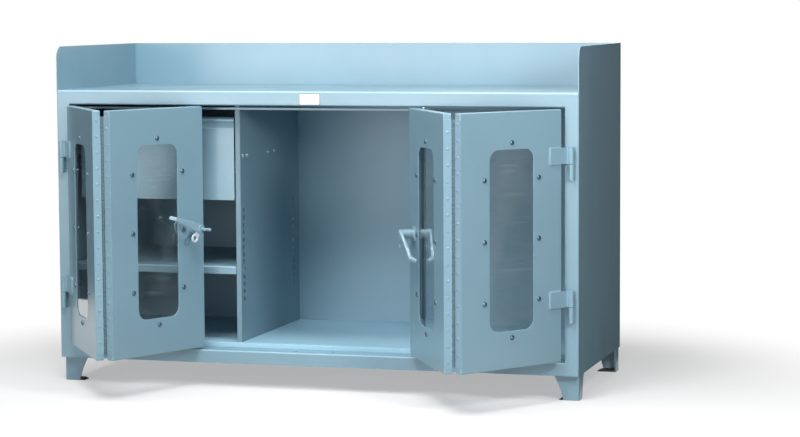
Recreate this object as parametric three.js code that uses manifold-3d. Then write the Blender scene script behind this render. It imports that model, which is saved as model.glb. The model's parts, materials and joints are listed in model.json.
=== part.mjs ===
// Steel workbench: a guarded top over a cabinet with two pairs of bi-fold doors, a drawer and a shelf.
// Millimetres, +Z up, the doors face -Y. The origin lies on the floor under the middle of the bench
// as it stands with its doors folded open.
import * as THREE from "three";
import { mergeVertices } from "three/addons/utils/BufferGeometryUtils.js";
import Module from "manifold-3d";

const wasm = await Module();
wasm.setup();

// Whole bench
const benchWidth = 1829;
const benchDepth = 711;
const bodyHeight = 925; // from the underside of the body to the work surface
const footHeight = 84;
const guardHeight = 149; // above the work surface
const guardCorner = 40;
const sheet = 3;
const clearance = 0.3; // between pieces that turn together or run on each other
const cornerSegments = 5; // flats in each rounded corner

// Front frame
const frameFace = 46; // width of the stiles and the header
const railFace = 44;
const topBend = 7; // outside radius of the bend at the front of the top
const recess = 86; // from the front of the frame to the front of the inner box
const lipDrop = 21; // stop lip below the header
const floorStep = 17; // floor above the sill
const floorBend = 4;
const sillTuck = 10; // sill under the floor panel
const plateWidth = 72;
const plateHeight = 38;
const plateThickness = 1;

// Legs
const legPlate = 5;
const legTopWidth = 86;
const legFootWidth = 54;
const legTopDepth = 73;
const legFootDepth = 50;
const legTab = 34; // welded part inside the body
const legSetBack = 27; // front legs behind the front of the body
const legPadThickness = 6;
const legPadToe = 17;

// Left compartment
const dividerPlace = 636; // right face of the divider from the left end of the bench
const dividerFlange = 17.5;
const slotRows = 13;
const slotPitch = 25.4;
const slotHeight = 10;
const slotWidth = 14;
const slotStart = 208; // lowest slot above the underside of the body
const slotFrontInset = 30;
const slotRearInset = 68;
const shelfHeight = 321; // above the underside of the body
const shelfFlange = 26.5;
const shelfPlay = 2;
const bracketLeg = 30;
const bracketInset = 30;

// Drawer
const drawerTop = 832; // above the underside of the body
const drawerFrontHeight = 283;
const drawerLip = 14;
const drawerSideGap = 27; // between the box and the ends of the drawer front
const drawerEndGap = 5; // between the drawer front and what it passes
const drawerBoxHeight = 200;
const drawerBoxDepth = 540;
const drawerBoxLift = 14;
const drawerSheet = 2;
const slideHeight = 42;
const slideDepth = 14;
const slideSheet = 2;
const slidePlateHeight = 60;
const slideLength = 500;
const slideInset = 20;

// Door leaves
const leafThickness = 26.5;
const leafSheet = 2;
const leafReturn = 15; // lip folded in at the back of a leaf
const leafTopGap = 6;
const leafSillGap = 8;
const hingeGap = 5; // between a stile and its leaf
const foldGap = 4; // between the two leaves of a pair
const middleGap = 7; // between the two pairs
const leftOuterAngle = 55; // degrees open, from the front plane
const leftInnerAngle = 65.9;
const rightOuterAngle = 55;
const rightInnerAngle = 59.7;

// Windows
const windowMargin = 121; // from the leaf's edges to the window
const windowCorner = 36;
const paneOverlap = 36;
const paneThickness = 5;
const clampThickness = 2.5;
const clampLap = 4; // the clamp's opening is this much larger than the window on each side
const boltOffset = 22; // bolts outside the window's edge
const boltSpread = 196; // between the side bolts
const boltRadius = 3.6;
const boltHeadRadius = 7.5;
const boltHeadHeight = 4.2;
const boltSides = 8;
const boltCrownSegments = 2;

// Barrel hinges
const hingeInset = 21; // pin from the end of the bench
const hingeRadius = 10;
const hingePlate = 5;
const hingeHalf = 53.5; // height of one knuckle
const hingePinRadius = 6;
const hingePinLength = 40;
const hingeFlap = 46; // on the leaf
const hingeNeck = 14; // welded foot of the half on the stile
const hingeSpread = 466; // between the upper and the lower hinge
const hingeSides = 16;

// Continuous hinges
const knuckleRadius = 4.5;
const knucklePinRadius = 2;
const knucklePinBehind = 5.2; // pin behind the back of the leaves
const knuckleCount = 7;
const knuckleEndInset = 20;
const knucklePlateGap = 1.2; // between a plate and the other half's knuckles
const knuckleSides = 8;

// Latches
const handleInset = 62; // spindle from the free edge
const leverTravel = 111; // degrees from locked, hanging straight down, to fully raised
const leftLeverAngle = 111;
const rightLeverAngle = 49;
const roseWidth = 38;
const roseHeight = 46;
const roseThickness = 4;
const bossRadius = 14;
const bossHeight = 12;
const hubRadius = 16;
const hubReach = 53; // hub's end in front of the leaf
const leverDepth = 12; // thickness of the arm at the hub
const leverHeel = 114; // spindle to the bend near the lever's end
const leverHeelReach = 41; // bend in front of the leaf
const leverHeelDepth = 11.5;
const leverHeelSlant = 9; // inner side of the bend nearer the spindle by this
const leverLength = 127;
const leverTipReach = 20; // lever's end in front of the leaf
const leverTipDepth = 5.5;
const leverTipSlant = 7;
const leverTipRadius = 6.5;
const lugAngle = 72; // padlock lug behind the lever, in degrees
const lugPlace = 38; // spindle to the middle of the lug's hole
const lugRadius = 13;
const lugHole = 7;
const lugReach = 46; // lug's front in front of the leaf
const lugThickness = 6;
const lugNeck = 18;
const hubPinRadius = 5; // slim pin in the end of the left hub
const hubPinReach = 95; // pin's end in front of the leaf
const spindleRadius = 7;
const camRadius = 20; // with the lever fully raised
const camRise = 25; // lift of the cam, and travel of the rods, over the lever's travel
const camRiseSteps = 10;
const camFallSteps = 5;
const camThickness = 8;
const strapWidth = 56;
const strapThickness = 3;
const rodRadius = 5;
const rodCamGap = 6;
const rodLockedReach = 15.4; // rod beyond the leaf's edge when the latch is locked
const rodHole = 8;
const guideHeight = 16;
const guideWidth = 22;
const guideEndInset = 30;
const guideCamGap = 24;
const latchSides = 12;

// Levels and faces worked out from the sizes above
const bodyBottom = footHeight;
const workTop = bodyBottom + bodyHeight;
const headerBottom = workTop - frameFace;
const guardTop = workTop + guardHeight;
const sillTop = bodyBottom + railFace;
const floorTop = sillTop + floorStep;
const endInside = -benchWidth / 2 + sheet; // inner face of the left side panel
const backInside = benchDepth - sheet;
const dividerRight = -benchWidth / 2 + dividerPlace;
const dividerLeft = dividerRight - sheet;
const dividerFlangeLeft = dividerRight - dividerFlange;
const leafBottom = sillTop + leafSillGap;
const leafHeight = headerBottom - leafTopGap - leafBottom;
const leafWidth = (benchWidth - 2 * (frameFace + hingeGap) - 2 * foldGap - middleGap) / 4;
const windowWidth = leafWidth - 2 * windowMargin;
const windowHeight = leafHeight - 2 * windowMargin;
const hingeProud = hingePlate + hingeRadius; // pin in front of the frame
const leafStart = frameFace + hingeGap - hingeInset; // leaf's edge from its hinge pin
const rodDepth = leafThickness + clearance + strapThickness + clearance + camThickness / 2;

// Materials
const paint = () => new THREE.MeshStandardMaterial({ color: 0x8fb0be, roughness: 0.38, metalness: 0.1 });
const zinc = () => new THREE.MeshStandardMaterial({ color: 0xb9bec0, roughness: 0.35, metalness: 0.9 });
const castSteel = () => new THREE.MeshStandardMaterial({ color: 0xa9bcc4, roughness: 0.4, metalness: 0.6 });
const whitePlate = () => new THREE.MeshStandardMaterial({ color: 0xeef0ee, roughness: 0.5, metalness: 0 });
const clearSheet = () =>
  new THREE.MeshStandardMaterial({ color: 0xc9d4d6, roughness: 0.08, transparent: true, opacity: 0.3 });

const mergeDistance = 1e-4; // corners of a geometry nearer than this are one

// A closed geometry as a solid that can be joined and cut
function solid(geometry) {
  const bare = geometry.clone();
  bare.deleteAttribute("normal");
  bare.deleteAttribute("uv");
  const merged = mergeVertices(bare, mergeDistance);
  const mesh = new wasm.Mesh({
    numProp: 3,
    vertProperties: new Float32Array(merged.attributes.position.array),
    triVerts: new Uint32Array(merged.index.array),
  });
  return new wasm.Manifold(mesh);
}

function toGeometry(body) {
  const mesh = body.getMesh();
  const geometry = new THREE.BufferGeometry();
  geometry.setAttribute("position", new THREE.BufferAttribute(mesh.vertProperties, 3));
  geometry.setIndex(new THREE.BufferAttribute(mesh.triVerts, 1));
  geometry.computeVertexNormals();
  return geometry;
}

function joined(...geometries) {
  return geometries.map(solid).reduce((whole, piece) => whole.add(piece));
}

function piece(name, shape, material) {
  const geometry = shape instanceof THREE.BufferGeometry ? shape : toGeometry(shape);
  const mesh = new THREE.Mesh(geometry, material);
  mesh.name = name;
  return mesh;
}

// A box between two corners
function block([x0, x1], [y0, y1], [z0, z1]) {
  const geometry = new THREE.BoxGeometry(x1 - x0, y1 - y0, z1 - z0);
  return geometry.translate((x0 + x1) / 2, (y0 + y1) / 2, (z0 + z1) / 2);
}

function outline(points) {
  return new THREE.Shape(points.map(([a, b]) => new THREE.Vector2(a, b)));
}

function extruded(shape, length) {
  const options = { depth: length, bevelEnabled: false, curveSegments: cornerSegments };
  return new THREE.ExtrudeGeometry(shape, options);
}

// A shape drawn in Y and Z, drawn out along X
function alongX(shape, [x0, x1]) {
  const turn = new THREE.Matrix4().makeBasis(
    new THREE.Vector3(0, 1, 0),
    new THREE.Vector3(0, 0, 1),
    new THREE.Vector3(1, 0, 0),
  );
  return extruded(shape, x1 - x0).applyMatrix4(turn).translate(x0, 0, 0);
}

// A shape drawn in X and Z, drawn out along Y
function alongY(shape, [y0, y1]) {
  return extruded(shape, y1 - y0).rotateX(Math.PI / 2).translate(0, y1, 0);
}

// A round bar along Y or Z
function barY(radius, [y0, y1], x, z, sides) {
  return new THREE.CylinderGeometry(radius, radius, y1 - y0, sides).translate(x, (y0 + y1) / 2, z);
}

function barZ(radius, [z0, z1], x, y, sides) {
  const bar = new THREE.CylinderGeometry(radius, radius, z1 - z0, sides);
  return bar.rotateX(Math.PI / 2).translate(x, y, (z0 + z1) / 2);
}

// The left side panel with its stile; the right one is its mirror image
function sidePanel(name) {
  const side = new THREE.Shape();
  side.moveTo(0, bodyBottom);
  side.lineTo(benchDepth, bodyBottom);
  side.lineTo(benchDepth, guardTop);
  side.lineTo(guardCorner, guardTop);
  side.absarc(guardCorner, guardTop - guardCorner, guardCorner, Math.PI / 2, Math.PI, false);
  const stileEnd = -benchWidth / 2 + frameFace;
  const stile = block([endInside, stileEnd], [0, sheet], [bodyBottom, headerBottom]);
  return piece(name, joined(alongX(side, [-benchWidth / 2, endInside]), stile), paint());
}

function backPanel() {
  const panel = block([endInside, -endInside], [backInside, benchDepth], [bodyBottom, guardTop]);
  return piece("back_panel", panel, paint());
}

function workTopSheet() {
  const inner = topBend - sheet;
  const profile = new THREE.Shape();
  profile.moveTo(0, headerBottom);
  profile.lineTo(sheet, headerBottom);
  profile.lineTo(sheet, workTop - topBend);
  profile.absarc(topBend, workTop - topBend, inner, Math.PI, Math.PI / 2, true);
  profile.lineTo(backInside, workTop - sheet);
  profile.lineTo(backInside, workTop);
  profile.lineTo(topBend, workTop);
  profile.absarc(topBend, workTop - topBend, topBend, Math.PI / 2, Math.PI, false);
  return piece("work_top", alongX(profile, [endInside, -endInside]), paint());
}

// Where the latch rods of the closed doors meet the soffit and the sill
function rodCatches() {
  const fromMiddle = middleGap / 2 + handleInset;
  return [-fromMiddle, fromMiddle];
}

function soffitPanel() {
  const high = [headerBottom, headerBottom + sheet];
  let panel = solid(block([endInside, -endInside], [sheet, recess], high));
  for (const x of rodCatches()) {
    const reach = [headerBottom - sheet, headerBottom + 2 * sheet];
    panel = panel.subtract(solid(barZ(rodHole, reach, x, rodDepth, latchSides)));
  }
  return piece("soffit_panel", panel, paint());
}

function stopLip() {
  const high = [headerBottom - lipDrop, headerBottom];
  return piece("stop_lip", block([endInside, -endInside], [recess - sheet, recess], high), paint());
}

function bottomRail() {
  const stileEnd = benchWidth / 2 - frameFace;
  const face = block([-stileEnd, stileEnd], [0, sheet], [bodyBottom, sillTop]);
  const sill = block([endInside, -endInside], [sheet, recess + sillTuck], [sillTop - sheet, sillTop]);
  let rail = joined(face, sill);
  for (const x of rodCatches()) {
    const reach = [sillTop - 2 * sheet, sillTop + sheet];
    rail = rail.subtract(solid(barZ(rodHole, reach, x, rodDepth, latchSides)));
  }
  return piece("bottom_rail", rail, paint());
}

function floorPanel() {
  const front = recess - sheet;
  const profile = new THREE.Shape();
  profile.moveTo(front, sillTop);
  profile.lineTo(recess, sillTop);
  profile.lineTo(recess, floorTop - sheet);
  profile.lineTo(backInside, floorTop - sheet);
  profile.lineTo(backInside, floorTop);
  profile.lineTo(front + floorBend, floorTop);
  profile.absarc(front + floorBend, floorTop - floorBend, floorBend, Math.PI / 2, Math.PI, false);
  return piece("floor_panel", alongX(profile, [endInside, -endInside]), paint());
}

function dividerPanel() {
  const height = [floorTop, workTop - sheet];
  const panel = block([dividerLeft, dividerRight], [recess, backInside], height);
  const flange = block([dividerFlangeLeft, dividerRight], [recess, recess + sheet], height);
  let divider = joined(panel, flange);
  const columns = [recess + slotFrontInset, backInside - slotRearInset];
  for (const y of columns) {
    for (let row = 0; row < slotRows; row += 1) {
      const z = bodyBottom + slotStart + row * slotPitch;
      const across = [dividerLeft - sheet, dividerRight + sheet];
      const deep = [y - slotWidth / 2, y + slotWidth / 2];
      const high = [z - slotHeight / 2, z + slotHeight / 2];
      divider = divider.subtract(solid(block(across, deep, high)));
    }
  }
  return piece("divider_panel", divider, paint());
}

function namePlate() {
  const middle = (headerBottom + workTop - topBend) / 2;
  const height = [middle - plateHeight / 2, middle + plateHeight / 2];
  const plate = block([-plateWidth / 2, plateWidth / 2], [-plateThickness, 0], height);
  return piece("name_plate", plate, whitePlate());
}

// A leg in its corner: X and Y run inwards from the inner faces of the body's walls
function leg(name, x, y, inwardX, inwardY) {
  const top = footHeight + legTab;
  const tapered = (foot, wide) => outline([[0, 0], [foot, 0], [wide, footHeight], [wide, top], [0, top]]);
  const across = tapered(legFootWidth, legTopWidth);
  const along = tapered(legFootDepth, legTopDepth);
  const pad = block([0, legFootWidth + legPadToe], [0, legFootDepth], [0, legPadThickness]);
  const plates = [alongY(across, [0, legPlate]), alongX(along, [0, legPlate])];
  const mesh = piece(name, joined(...plates, pad), paint());
  mesh.position.set(x, y, 0);
  mesh.scale.set(inwardX, inwardY, 1);
  return mesh;
}

function legs() {
  return [
    leg("front_left_leg", endInside, legSetBack, 1, 1),
    leg("front_right_leg", -endInside, legSetBack, -1, 1),
    leg("rear_left_leg", endInside, backInside, 1, -1),
    leg("rear_right_leg", -endInside, backInside, -1, -1),
  ];
}

function shelfPieces() {
  const top = bodyBottom + shelfHeight;
  const under = top - sheet;
  const front = recess + shelfPlay;
  const rear = backInside - shelfPlay;
  const profile = outline([
    [front, top - shelfFlange],
    [front + sheet, top - shelfFlange],
    [front + sheet, under],
    [rear - sheet, under],
    [rear - sheet, top - shelfFlange],
    [rear, top - shelfFlange],
    [rear, top],
    [front, top],
  ]);
  const shelf = alongX(profile, [endInside + shelfPlay, dividerFlangeLeft - shelfPlay]);
  const angle = (wall, reach) =>
    outline([
      [wall, under],
      [wall, under - bracketLeg],
      [wall + Math.sign(reach) * sheet, under - bracketLeg],
      [wall + Math.sign(reach) * sheet, under - sheet],
      [wall + reach, under - sheet],
      [wall + reach, under],
    ]);
  const run = [front + bracketInset, rear - bracketInset];
  const rightReach = -(bracketLeg + dividerFlange);
  return [
    piece("shelf", shelf, paint()),
    piece("shelf_bracket_left", alongY(angle(endInside, bracketLeg), run), paint()),
    piece("shelf_bracket_right", alongY(angle(dividerLeft, rightReach), run), paint()),
  ];
}

function drawerPieces() {
  const top = bodyBottom + drawerTop;
  const bottom = top - drawerFrontHeight;
  const left = -benchWidth / 2 + frameFace + drawerEndGap;
  const right = dividerFlangeLeft - drawerEndGap;
  const bend = Math.tan(Math.PI / 8) * sheet;
  const fold = sheet * Math.SQRT1_2;
  const profile = outline([
    [recess, bottom],
    [recess + sheet, bottom],
    [recess + sheet, top - drawerLip - bend],
    [recess + drawerLip + fold, top - fold],
    [recess + drawerLip, top],
    [recess, top - drawerLip],
  ]);
  const boxWide = [left + drawerSideGap, right - drawerSideGap];
  const boxDeep = [recess + sheet, recess + sheet + drawerBoxDepth];
  const boxHigh = [bottom + drawerBoxLift, bottom + drawerBoxLift + drawerBoxHeight];
  const inside = block(
    [boxWide[0] + drawerSheet, boxWide[1] - drawerSheet],
    [boxDeep[0] + drawerSheet, boxDeep[1] - drawerSheet],
    [boxHigh[0] + drawerSheet, boxHigh[1] + drawerSheet],
  );
  const box = solid(block(boxWide, boxDeep, boxHigh)).subtract(solid(inside));
  const slideLevel = (boxHigh[0] + boxHigh[1]) / 2;
  return [
    piece("drawer_front", alongX(profile, [left, right]), paint()),
    piece("drawer_box", box, paint()),
    slideRail("drawer_rail_left", endInside, left, slideLevel),
    slideRail("drawer_rail_right", dividerLeft, right, slideLevel),
    slideRunner("drawer_runner_left", boxWide[0], left, slideLevel),
    slideRunner("drawer_runner_right", boxWide[1], right, slideLevel),
  ];
}

const sorted = (a, b) => [Math.min(a, b), Math.max(a, b)];

// The fixed member: a plate on the wall, a spacer and a channel that opens towards the drawer
function slideRail(name, wall, back, level) {
  const inward = Math.sign(back - wall);
  const run = [recess + slideInset, recess + slideInset + slideLength];
  const high = [level - slideHeight / 2, level + slideHeight / 2];
  const plate = block(
    sorted(wall, wall + inward * slideSheet),
    run,
    [level - slidePlateHeight / 2, level + slidePlateHeight / 2],
  );
  const spacer = block(sorted(wall, back), run, [level - slideSheet / 2, level + slideSheet / 2]);
  const web = block(sorted(back - inward * slideSheet, back), run, high);
  const mouth = sorted(back, back + inward * slideDepth);
  const upper = block(mouth, run, [high[1] - slideSheet, high[1]]);
  const lower = block(mouth, run, [high[0], high[0] + slideSheet]);
  return piece(name, joined(plate, spacer, web, upper, lower), zinc());
}

// The moving member: a plate on the drawer box with a tongue that runs in the channel
function slideRunner(name, boxSide, back, level) {
  const outward = Math.sign(back - boxSide);
  const run = [recess + slideInset, recess + slideInset + slideLength];
  const plate = block(
    sorted(boxSide, boxSide + outward * slideSheet),
    run,
    [level - slideHeight / 2, level + slideHeight / 2],
  );
  const tongueHalf = slideHeight / 2 - slideSheet - clearance;
  const tongue = block(
    sorted(boxSide, back - outward * slideSheet),
    run,
    [level - tongueHalf, level + tongueHalf],
  );
  return piece(name, joined(plate, tongue), zinc());
}

// Places of a window's bolts on its leaf, as [x, z]
function boltPlaces() {
  const middleX = leafWidth / 2;
  const middleZ = leafHeight / 2;
  const sideX = windowWidth / 2 + boltOffset;
  const endZ = windowHeight / 2 + boltOffset;
  const places = [[middleX, middleZ - endZ], [middleX, middleZ + endZ]];
  for (const row of [-boltSpread, 0, boltSpread]) {
    places.push([middleX - sideX, middleZ + row], [middleX + sideX, middleZ + row]);
  }
  return places;
}

// A rectangle with rounded corners, centred on a leaf
function windowOutline(width, height, corner) {
  const left = leafWidth / 2 - width / 2;
  const right = leafWidth / 2 + width / 2;
  const low = leafHeight / 2 - height / 2;
  const high = leafHeight / 2 + height / 2;
  const shape = new THREE.Shape();
  shape.moveTo(left + corner, low);
  shape.lineTo(right - corner, low);
  shape.absarc(right - corner, low + corner, corner, -Math.PI / 2, 0, false);
  shape.lineTo(right, high - corner);
  shape.absarc(right - corner, high - corner, corner, 0, Math.PI / 2, false);
  shape.lineTo(left + corner, high);
  shape.absarc(left + corner, high - corner, corner, Math.PI / 2, Math.PI, false);
  shape.lineTo(left, low + corner);
  shape.absarc(left + corner, low + corner, corner, Math.PI, 1.5 * Math.PI, false);
  return shape;
}

// A leaf: X from the edge nearest its stile, Y from its front to its back, Z from its lower edge
function leafPan(name, hasLatch) {
  const whole = block([0, leafWidth], [0, leafThickness], [0, leafHeight]);
  const hollow = block(
    [leafSheet, leafWidth - leafSheet],
    [leafSheet, leafThickness - leafSheet],
    [leafSheet, leafHeight - leafSheet],
  );
  const mouth = block(
    [leafReturn, leafWidth - leafReturn],
    [leafThickness / 2, leafThickness + leafSheet],
    [leafReturn, leafHeight - leafReturn],
  );
  const through = [-leafSheet, 2 * leafSheet];
  let pan = solid(whole).subtract(solid(hollow)).subtract(solid(mouth));
  pan = pan.subtract(solid(alongY(windowOutline(windowWidth, windowHeight, windowCorner), through)));
  for (const [x, z] of boltPlaces()) {
    pan = pan.subtract(solid(barY(boltRadius + clearance, through, x, z, boltSides)));
  }
  if (hasLatch) {
    const spindleX = leafWidth - handleInset;
    const hole = barY(spindleRadius + clearance, through, spindleX, leafHeight / 2, latchSides);
    pan = pan.subtract(solid(hole));
  }
  return piece(name, pan, paint());
}

function windowPane(name) {
  const front = leafSheet + clearance;
  const across = [windowMargin - paneOverlap, leafWidth - windowMargin + paneOverlap];
  const high = [windowMargin - paneOverlap, leafHeight - windowMargin + paneOverlap];
  let pane = solid(block(across, [front, front + paneThickness], high));
  for (const [x, z] of boltPlaces()) {
    const through = [front - paneThickness, front + 2 * paneThickness];
    pane = pane.subtract(solid(barY(boltRadius + clearance, through, x, z, boltSides)));
  }
  return piece(name, pane, clearSheet());
}

// The frame behind a pane, with the bolts that hold it through the pane and the leaf
function windowClamp(name) {
  const front = leafSheet + paneThickness + 2 * clearance;
  const deep = [front, front + clampThickness];
  const across = [windowMargin - paneOverlap, leafWidth - windowMargin + paneOverlap];
  const high = [windowMargin - paneOverlap, leafHeight - windowMargin + paneOverlap];
  const opening = windowOutline(windowWidth + 2 * clampLap, windowHeight + 2 * clampLap, windowCorner);
  let clamp = solid(block(across, deep, high)).subtract(
    solid(alongY(opening, [front - clampThickness, front + 2 * clampThickness])),
  );
  const crown = new THREE.EllipseCurve(0, 0, boltHeadRadius, boltHeadHeight, 0, Math.PI / 2);
  const headProfile = [new THREE.Vector2(0, 0), ...crown.getPoints(boltCrownSegments)];
  const head = new THREE.LatheGeometry(headProfile, boltSides);
  head.rotateX(Math.PI);
  for (const [x, z] of boltPlaces()) {
    const reach = [-clearance - boltHeadHeight / 2, front + clampThickness / 2];
    const shank = barY(boltRadius, reach, x, z, boltSides);
    clamp = clamp.add(solid(shank)).add(solid(head.clone().translate(x, -clearance, z)));
  }
  return piece(name, clamp, zinc());
}

// The half of a barrel hinge on the leaf; its pin is the Z axis
function hingeOnLeaf(name, level) {
  const high = [level + clearance, level + hingeHalf];
  const back = hingeProud - clearance;
  const flap = block([0, leafStart + hingeFlap], [back - hingePlate, back], high);
  const neck = block([0, hingeRadius], [0, back], high);
  const knuckle = barZ(hingeRadius, high, 0, 0, hingeSides);
  const bore = [level - hingeHalf, level + hingePinLength + clearance];
  const half = joined(flap, neck, knuckle).subtract(
    solid(barZ(hingePinRadius + clearance, bore, 0, 0, hingeSides)),
  );
  return piece(name, half, paint());
}

// The half on the stile, with the pin
function hingeOnStile(name, level) {
  const high = [level - hingeHalf, level];
  const neck = block([-hingeNeck / 2, hingeNeck / 2], [0, hingeProud], high);
  const knuckle = barZ(hingeRadius, high, 0, 0, hingeSides);
  const pin = barZ(hingePinRadius, [level - hingeHalf, level + hingePinLength], 0, 0, hingeSides);
  return piece(name, joined(neck, knuckle, pin), paint());
}

// One half of a continuous hinge, with its pin on the Z axis; side is -1 for the outer leaf's half
function continuousHinge(name, side) {
  const ends = [leafBottom + knuckleEndInset, leafBottom + leafHeight - knuckleEndInset];
  const pitch = (ends[1] - ends[0]) / knuckleCount;
  const plateX = sorted(side * clearance, side * (foldGap / 2 - clearance));
  const plateFront = -knucklePinBehind - leafThickness;
  const plateBack = -knuckleRadius - knucklePlateGap;
  let half = solid(block(plateX, [plateFront, plateBack], ends));
  const first = side < 0 ? 0 : 1;
  for (let knuckle = first; knuckle < knuckleCount; knuckle += 2) {
    const start = ends[0] + knuckle * pitch;
    const high = [start + clearance, start + pitch - clearance];
    half = half.add(solid(block(plateX, [plateBack, 0], high)));
    half = half.add(solid(barZ(knuckleRadius, high, 0, 0, knuckleSides)));
  }
  const pin = side < 0 ? knucklePinRadius : knucklePinRadius + clearance;
  const bar = solid(barZ(pin, ends, 0, 0, knuckleSides));
  return piece(name, side < 0 ? half.add(bar) : half.subtract(bar), paint());
}

// The latch on an inner leaf, placed about its spindle: Y runs from the leaf's front to its back
function escutcheon(name) {
  const across = [-roseWidth / 2, roseWidth / 2];
  const high = [-roseHeight / 2, roseHeight / 2];
  const rose = block(across, [-clearance - roseThickness, -clearance], high);
  const boss = barY(bossRadius, [-bossHeight, -clearance - roseThickness / 2], 0, 0, latchSides);
  const bore = barY(spindleRadius + clearance, [-2 * bossHeight, bossHeight], 0, 0, latchSides);
  return piece(name, joined(rose, boss).subtract(solid(bore)), castSteel());
}

// The hanging lever: its side view and its front view, each drawn through the other
function leverArm() {
  const side = outline([
    [-hubReach, hubRadius],
    [-hubReach, -hubRadius],
    [-leverHeelReach, -leverHeel],
    [-leverTipReach, -leverLength],
    [leverTipDepth - leverTipReach, leverTipSlant - leverLength],
    [leverHeelDepth - leverHeelReach, leverHeelSlant - leverHeel],
    [leverDepth - hubReach, -hubRadius],
    [leverDepth - hubReach, hubRadius],
  ]);
  const front = new THREE.Shape();
  const tipCentre = leverTipRadius - leverLength;
  front.absarc(0, 0, hubRadius, 0, Math.PI, false);
  front.absarc(0, tipCentre, leverTipRadius, Math.PI, 2 * Math.PI, false);
  const across = solid(alongX(side, [-hubRadius, hubRadius]));
  return across.intersect(solid(alongY(front, [-hubReach, 0])));
}

// The eye for a padlock beside the hanging lever
function leverLug() {
  const turn = THREE.MathUtils.degToRad(lugAngle);
  const [alongLugX, alongLugZ] = [Math.sin(turn), -Math.cos(turn)];
  const [x, z] = [lugPlace * alongLugX, lugPlace * alongLugZ];
  const half = lugNeck / 2;
  const neck = outline([
    [half * alongLugZ, -half * alongLugX],
    [-half * alongLugZ, half * alongLugX],
    [x - half * alongLugZ, z + half * alongLugX],
    [x + half * alongLugZ, z - half * alongLugX],
  ]);
  const deep = [-lugReach, lugThickness - lugReach];
  const through = [-lugReach - lugThickness, 2 * lugThickness - lugReach];
  const plate = joined(alongY(neck, deep), barY(lugRadius, deep, x, z, latchSides));
  return plate.subtract(solid(barY(lugHole, through, x, z, latchSides)));
}

// How far the cam has lifted the rods, from 0 with the lever raised to camRise with it hanging
function camLift(angle) {
  return camRise * (1 - angle / leverTravel);
}

// A cam with two lobes, each falling evenly over the lever's travel and rising again over the rest
function camOutline() {
  const lobe = [];
  for (let step = 0; step < camRiseSteps; step += 1) {
    lobe.push((step / camRiseSteps) * leverTravel);
  }
  for (let step = 0; step < camFallSteps; step += 1) {
    lobe.push(leverTravel + (step / camFallSteps) * (180 - leverTravel));
  }
  const points = [];
  for (const start of [0, Math.PI]) {
    for (const angle of lobe) {
      const back = (angle - leverTravel) / (180 - leverTravel);
      const radius = camRadius + (angle < leverTravel ? camLift(angle) : camRise * back);
      const turn = start + THREE.MathUtils.degToRad(angle);
      points.push([-radius * Math.sin(turn), radius * Math.cos(turn)]);
    }
  }
  return outline(points);
}

// Lever, lug, hub, spindle and cam in one, made with the lever hanging and then turned to its angle
function lever(name, angle, hasPin) {
  const hubStart = -bossHeight - clearance;
  const camFront = leafThickness + strapThickness + 2 * clearance;
  const reach = [hubStart - hubRadius / 2, camFront + camThickness / 2];
  let turning = joined(
    barY(hubRadius, [-hubReach, hubStart], 0, 0, latchSides),
    barY(spindleRadius, reach, 0, 0, latchSides),
    alongY(camOutline(), [camFront, camFront + camThickness]),
  );
  if (hasPin) {
    turning = turning.add(solid(barY(hubPinRadius, [-hubPinReach, -hubReach / 2], 0, 0, latchSides)));
  }
  const hanging = toGeometry(turning.add(leverArm()).add(leverLug()));
  return piece(name, hanging.rotateY(THREE.MathUtils.degToRad(angle)), castSteel());
}

// The strap behind the leaf that carries the spindle and guides the rods
function latchStrap(name) {
  const front = leafThickness + clearance;
  const deep = [front, front + strapThickness];
  const end = leafHeight / 2 - leafSheet;
  const guideDeep = [front, rodDepth + rodRadius + strapThickness];
  let strap = solid(block([-strapWidth / 2, strapWidth / 2], deep, [-end, end]));
  const levels = [camRadius + camRise + guideCamGap, end - guideEndInset];
  for (const level of [...levels, ...levels.map((z) => -z)]) {
    const high = [level - guideHeight / 2, level + guideHeight / 2];
    strap = strap.add(solid(block([-guideWidth / 2, guideWidth / 2], guideDeep, high)));
  }
  const holes = [-end - guideHeight, end + guideHeight];
  strap = strap.subtract(solid(barZ(rodRadius + clearance, holes, 0, rodDepth, latchSides)));
  strap = strap.subtract(solid(barY(spindleRadius + clearance, [0, rodDepth], 0, 0, latchSides)));
  return piece(name, strap, zinc());
}

// A rod that the cam holds as far out as the lever's angle says
function latchRod(name, direction, angle) {
  const start = direction * (camRadius + camLift(angle) + rodCamGap);
  const end = direction * (leafHeight / 2 + rodLockedReach - camRise + camLift(angle));
  return piece(name, barZ(rodRadius, sorted(start, end), 0, rodDepth, latchSides), zinc());
}

function windowedLeaf(prefix, hasLatch) {
  const group = new THREE.Group();
  group.add(leafPan(`${prefix}_leaf`, hasLatch));
  group.add(windowPane(`${prefix}_pane`));
  group.add(windowClamp(`${prefix}_clamp`));
  return group;
}

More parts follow.
